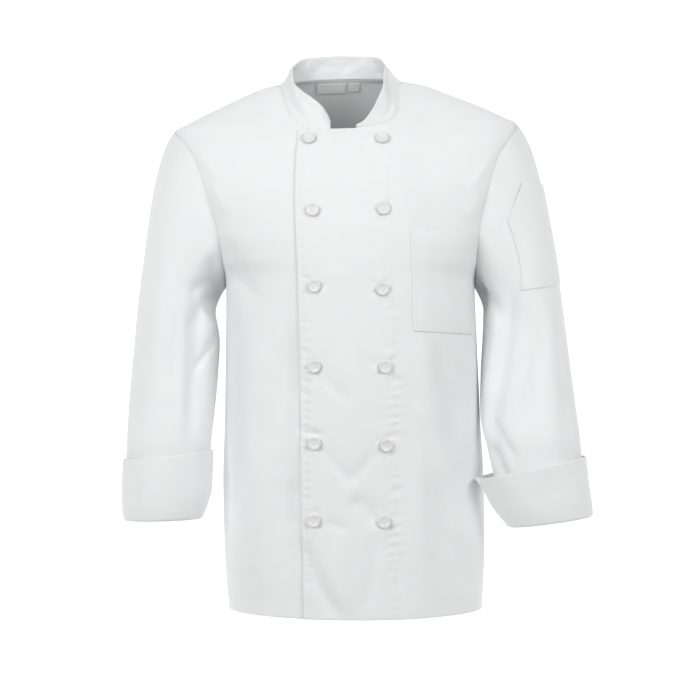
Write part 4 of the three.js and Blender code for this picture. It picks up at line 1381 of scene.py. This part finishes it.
@dataclass
class Cuff:
    """A turned-back cuff: a band outside the sleeve end, folded in under it at the bottom."""

    wardrobe: Wardrobe
    side: int
    columns: int = 150
    height: float = 88.0
    lip: float = 7.0
    RIGHT = Sections(
        "drop outX outZ inX inZ y deep",
        (
            (0, -325.5, -560, -192, -546, -54, 54),
            (0.5, -326.5, -605, -193, -600, -57, 52),
            (0.8, -326, -631, -200, -627, -58.5, 49),
            (1, -324, -648, -207, -645, -59, 44),
        ),
    )
    # Degrees round the cuff, slant, width and how far out
    CREASES = (
        (40.0, 10.0, 9.0, -1.4),
        (75.0, -14.0, 12.0, 1.5),
        (112.0, 12.0, 9.0, -1.5),
        (150.0, 8.0, 12.0, 1.2),
        (205.0, -10.0, 11.0, -1.4),
        (245.0, 12.0, 12.0, 1.5),
        (282.0, -12.0, 9.0, -1.5),
        (318.0, 8.0, 11.0, 1.2),
    )
    LEFT = Sections(
        "drop outX outZ inX inZ y deep",
        (
            (0, 355, -553, 192, -587, -76.5, 59),
            (0.4, 359, -591, 206, -608, -78, 53),
            (0.75, 363.5, -622, 222, -635, -79, 48),
            (1, 365, -640, 240, -657, -79, 42),
        ),
    )

    def profile(self) -> tuple[Array, Array]:
        """Returns the band's closed profile as shares of its drop and insets."""
        height = self.height
        steps = [
            (1 + CUFF_CLOTH / height, self.lip),
            (1 + 0.3 / height, self.lip + 0.7),
            (1 - 0.2 / height, self.lip),
            (1.0, self.lip * 0.5),
            (0.999, 2.0),
            (0.996, 0.7),
        ]
        steps += [(d, 0.0) for d in np.linspace(0.985, 0.012, 34)]
        steps += [(0.003, 0.3), (0.0, CUFF_CLOTH / 2), (0.003, CUFF_CLOTH - 0.3)]
        steps += [(d, CUFF_CLOTH) for d in np.linspace(0.012, 0.97, 26)]
        steps += [(1 + CUFF_CLOTH / height * 0.6, CUFF_CLOTH + 0.6)]
        drops, insets = np.array(steps).T
        return drops, insets

    def build(self) -> None:
        """Makes the cuff."""
        rows = self.LEFT if self.side > 0 else self.RIGHT
        drops, insets = self.profile()
        angle = (np.arange(self.columns) * 2 * np.pi / self.columns)[None]
        angle = np.broadcast_to(angle, (len(drops), self.columns))
        drop = np.broadcast_to(drops[:, None], angle.shape)
        inset = np.broadcast_to(insets[:, None], angle.shape)
        points = oval_point(self.side, rows(drop), angle, inset)
        points[..., 2] -= np.maximum(drop - 1, 0) * self.height
        around, down = np.degrees(angle), drop * self.height
        waves = Unevenness(91 + self.side, 38, 26)(around, down)
        folds = sum(
            Crease(at, 8, at + slant, 80, width, out).at(around, down)
            for at, slant, width, out in self.CREASES
        )
        depth = (0.9 * waves + folds) * np.sin(np.pi * np.clip(drop, 0, 1)) * blend_round(angle)
        points = points + outward_at(self.side, angle) * depth[..., None]
        mesh = Mesh()
        count = len(drops)
        faces = grid_faces(count + 1, self.columns, around=True) % (count * self.columns)
        u, v = Sheet(points).cloth_places()
        mesh.add(points, faces, np.stack([u, v], axis=-1))
        name = f"cuff_{side_name(self.side)}"
        band = mesh.build(f"{name}_band", self.wardrobe.twill)
        self.wardrobe.join(band, "twill", name)
        outer = Sheet(points[5:41], around=True)
        Cut(0.43, 0.1, 0.034, "folded").declare(band, outer)


@dataclass
class Pocket:
    """A patch pocket that lies on a panel or a sleeve."""

    wardrobe: Wardrobe
    name: str
    place: Callable[[Array, Array], Array]
    cut: Cut
    columns: int = 60
    rows: int = 80
    puff: float = 1.6

    def build(self) -> None:
        """Makes the pocket and its edge stitching."""
        across, up = np.meshgrid(np.linspace(0, 1, self.columns), np.linspace(0, 1, self.rows))
        base = Sheet(self.place(across, up))
        normals = base.normals()
        edge = np.minimum(np.minimum(across, 1 - across) * 2.2, up * 2.5)
        lift = PATCH_GAP + CLOTH + self.puff * smoothstep(edge, 0.05, 0.5)
        sheet = Sheet(base.points + normals * lift[..., None])
        patch = wall(sheet, CLOTH, normals).build(f"{self.name}_patch", self.wardrobe.twill)
        self.wardrobe.join(patch, "twill", self.name)
        self.cut.declare(patch, sheet)
        seams = Seams()
        own = sheet.normals()
        for column in (2, self.columns - 3):
            seams.row(sheet.points[2:, column], own[2:, column])
        for row in (2, self.rows - 14):
            seams.row(sheet.points[row, 2:-2], own[row, 2:-2])
        seams.build(f"{self.name}_stitching", self.wardrobe)


@dataclass
class Pockets:
    """The chest pocket on the left front and the pocket on the left sleeve."""

    body: Body
    wardrobe: Wardrobe
    front: Front
    sleeve: Sleeve

    def chest(self, across: Array, up: Array) -> Array:
        """Returns places of the chest pocket on the front."""
        z = lerp(-371, -227, up) - 5 * across
        half = self.body.half(z)
        right = lerp(176, 180, up)
        x = half * np.sin(lerp(np.arcsin(88 / half), np.arcsin(right / half), across))
        return self.body.point(Face.FRONT, x, z, self.front.out(x, z))

    def upper_arm(self, across: Array, up: Array) -> Array:
        """Returns places of the sleeve pocket on the sleeve."""
        turn = lerp(lerp(93, 82, up), -4, across)
        angle = -np.radians(turn)
        top = lerp(-210, -152, np.minimum(across / 0.38, 1))
        z = lerp(lerp(-311, -299, across), top, up)
        low, high = np.zeros_like(z), np.full_like(z, self.sleeve.HEAD + self.sleeve.ARM)
        for _ in range(24):
            middle = (low + high) / 2
            above = self.sleeve.point(middle, angle)[..., 2] > z
            low, high = np.where(above, middle, low), np.where(above, high, middle)
        return self.sleeve.point(low, angle)

    def build(self) -> None:
        """Makes both pockets."""
        chest = Cut(0.115, 0.15, 0.0165, "stretched")
        Pocket(self.wardrobe, "chest_pocket", self.chest, chest).build()
        upper_arm = Cut(0.13, 0.15, 0.0165, "stretched")
        Pocket(self.wardrobe, "sleeve_pocket", self.upper_arm, upper_arm).build()


@dataclass
class Labels:
    """Two blank woven labels inside the back neck."""

    body: Body
    wardrobe: Wardrobe
    gap: float = 0.9
    thick: float = 0.7

    def build(self) -> None:
        """Makes both labels."""
        sizes = {"label": (-33, 12, -17, -4), "size_label": (16, 34, -15, -4)}
        for name, (left, right, bottom, top) in sizes.items():
            across, up = np.meshgrid(np.linspace(right, left, 30), np.linspace(bottom, top, 12))
            base = Sheet(self.body.point(Face.BACK, across, up))
            sheet = Sheet(base.moved(-CLOTH - self.gap))
            patch = wall(sheet, self.thick).build(f"{name}_tab", self.wardrobe.satin)
            self.wardrobe.join(patch, "label_satin", name)
            flat = ((right - left) / 1000, (top - bottom) / 1000)  # metres
            Cut(*flat, flat[0] * flat[1], "stretched").declare(patch, sheet)


@dataclass
class Buttons:
    """Two rows of buttons on the overlap, each sewn on through its dished middle."""

    body: Body
    wardrobe: Wardrobe
    radius: float = 9.4
    seat: float = 0.7
    sides: int = 48
    PROFILE = (
        (0.0, 0.0),
        (0.8, 0.0),
        (0.93, 0.35),
        (1.0, 1.2),
        (1.0, 2.5),
        (0.965, 3.2),
        (0.89, 3.65),
        (0.8, 3.7),
        (0.71, 3.45),
        (0.64, 2.95),
        (0.52, 2.6),
        (0.3, 2.5),
        (0.0, 2.45),
    )

    def stance_at(self, x: float, z: float) -> tuple[Array, Array, Array, Array]:
        """Returns a place on the overlap with the ways across, up and out of it."""
        step = 4.0

        def at(aside: float, above: float) -> Array:
            place = np.array(x + aside), np.array(z + above)
            return self.body.point(Face.FRONT, *place, LAP)

        across = unit(at(step, 0) - at(-step, 0))
        normal = unit(np.cross(across, at(0, step) - at(0, -step)))
        return at(0, 0), across, np.cross(normal, across), normal

    def build(self) -> None:
        """Makes each button with its thread."""
        for side, places in BUTTONS.items():
            for number, (x, z) in enumerate(places, 1):
                self._one(f"button_{side}_{number}", x, z)

    def _one(self, name: str, x: float, z: float) -> None:
        """Makes one button at a place on the overlap."""
        place, across, up, normal = self.stance_at(x, z)
        share, height = np.array(self.PROFILE).T
        angle = np.arange(self.sides) * 2 * np.pi / self.sides
        ring = share[:, None] * self.radius
        local = np.stack(
            [ring * np.cos(angle), ring * np.sin(angle), height[:, None] + 0 * angle], axis=-1
        )
        base = place + normal * self.seat
        points = base + local @ np.stack([across, up, normal])
        mesh = Mesh()
        mesh.add(points, grid_faces(len(share), self.sides, around=True))
        disc = mesh.build(f"{name}_disc", self.wardrobe.plastic)
        merge_poles(disc)
        self.wardrobe.join(disc, "button_plastic", name)
        seams = Seams()
        for shift in (-1.1, 1.1):
            start = base + normal * 2.6 + across * -1.8 + up * shift
            end = base + normal * 2.6 + across * 1.8 + up * shift
            line = np.linspace(start, end, 5)
            seams.row(line, np.broadcast_to(normal, line.shape), 0.15)
        seams.build(f"{name}_thread", self.wardrobe)


def merge_poles(thing: bpy.types.Object) -> None:
    """Joins the points that meet on a turned piece's axis."""
    work = bmesh.new()
    work.from_mesh(thing.data)
    bmesh.ops.remove_doubles(work, verts=work.verts, dist=1e-6)
    work.to_mesh(thing.data)
    work.free()


@dataclass
class Studio:
    """A plain pale cove, soft light and the camera."""

    camera_place: tuple[float, float, float] = (-0.00525, -3.2, -0.384)
    middle: tuple[float, float, float] = (0, 0, -0.38)
    lens: float = 112.94
    sensor: float = 36.0
    fill: float = 0.27
    floor_z: float = -1.4
    floor_y: float = -0.5
    wall_y: float = 1.6

    def build(self) -> None:
        """Makes the cove, the lights and the camera."""
        self._cove()
        self._light("right_softbox", (1.7, -2.0, 0.45), self.middle, 1.4, 32)
        self._light("left_softbox", (-1.7, -2.0, 0.45), self.middle, 1.4, 37)
        self._light("top_softbox", (0, -1.2, 1.7), (0, 0, -0.2), 1.2, 6)
        world = bpy.data.worlds.new("studio")
        world.use_nodes = True
        background = world.node_tree.nodes["Background"]
        background.inputs["Color"].default_value = (1, 1, 1, 1)
        background.inputs["Strength"].default_value = self.fill
        bpy.context.scene.world = world
        camera = bpy.data.cameras.new("camera")
        camera.lens, camera.sensor_width = self.lens, self.sensor
        thing = bpy.data.objects.new("camera", camera)
        thing.location = self.camera_place
        thing.rotation_euler = (math.pi / 2, 0, 0)
        bpy.context.scene.collection.objects.link(thing)
        bpy.context.scene.camera = thing
        bpy.context.scene.view_settings.view_transform = "Standard"

    def _cove(self) -> None:
        """Makes the floor that sweeps up into a back wall."""
        bend = np.linspace(0, math.pi / 2, 16)
        radius = 0.6
        curve = self.wall_y - radius + radius * np.sin(bend)
        y = np.concatenate([[self.floor_y], curve, [self.wall_y]])
        z = np.concatenate([[0.0], radius - radius * np.cos(bend), [5.0]]) + self.floor_z
        x = np.linspace(-6, 6, 13)
        points = np.stack(np.broadcast_arrays(x[None], y[:, None], z[:, None]), axis=-1)
        mesh = Mesh()
        mesh.add(points / MILLIMETRE, grid_faces(len(y), len(x)))
        cove = mesh.build("cove", CovePaint("cove_paint").material())

    def _light(
        self,
        name: str,
        place: tuple[float, float, float],
        target: tuple[float, float, float],
        size: float,
        power: float,
    ) -> None:
        """Makes a square soft light that points at a target."""
        light = bpy.data.lights.new(name, "AREA")
        light.size, light.energy = size, power
        thing = bpy.data.objects.new(name, light)
        thing.location = place
        aim = Vector(target) - Vector(place)
        thing.rotation_euler = aim.to_track_quat("-Z", "Y").to_euler()
        bpy.context.scene.collection.objects.link(thing)


def main() -> None:
    """Builds the jacket, piece by piece, around its solids."""
    logging.basicConfig(level=logging.INFO, format="%(name)s: %(message)s")
    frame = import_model()
    log.info("the frame holds %d solids", len(frame["nodes"]))
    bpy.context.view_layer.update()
    Studio().build()
    body, wardrobe = Body(), Wardrobe()
    Back(body, wardrobe).build()
    left = Front(body, wardrobe, side=1)
    left.build()
    Front(body, wardrobe, side=-1).build()
    Collar(body, wardrobe).build()
    sleeves = {side: Sleeve(body, wardrobe, side) for side in (1, -1)}
    for side, sleeve in sleeves.items():
        sleeve.build()
        Cuff(wardrobe, side).build()
    Pockets(body, wardrobe, left, sleeves[1]).build()
    Labels(body, wardrobe).build()
    Buttons(body, wardrobe).build()


if __name__ == "__main__":
    main()
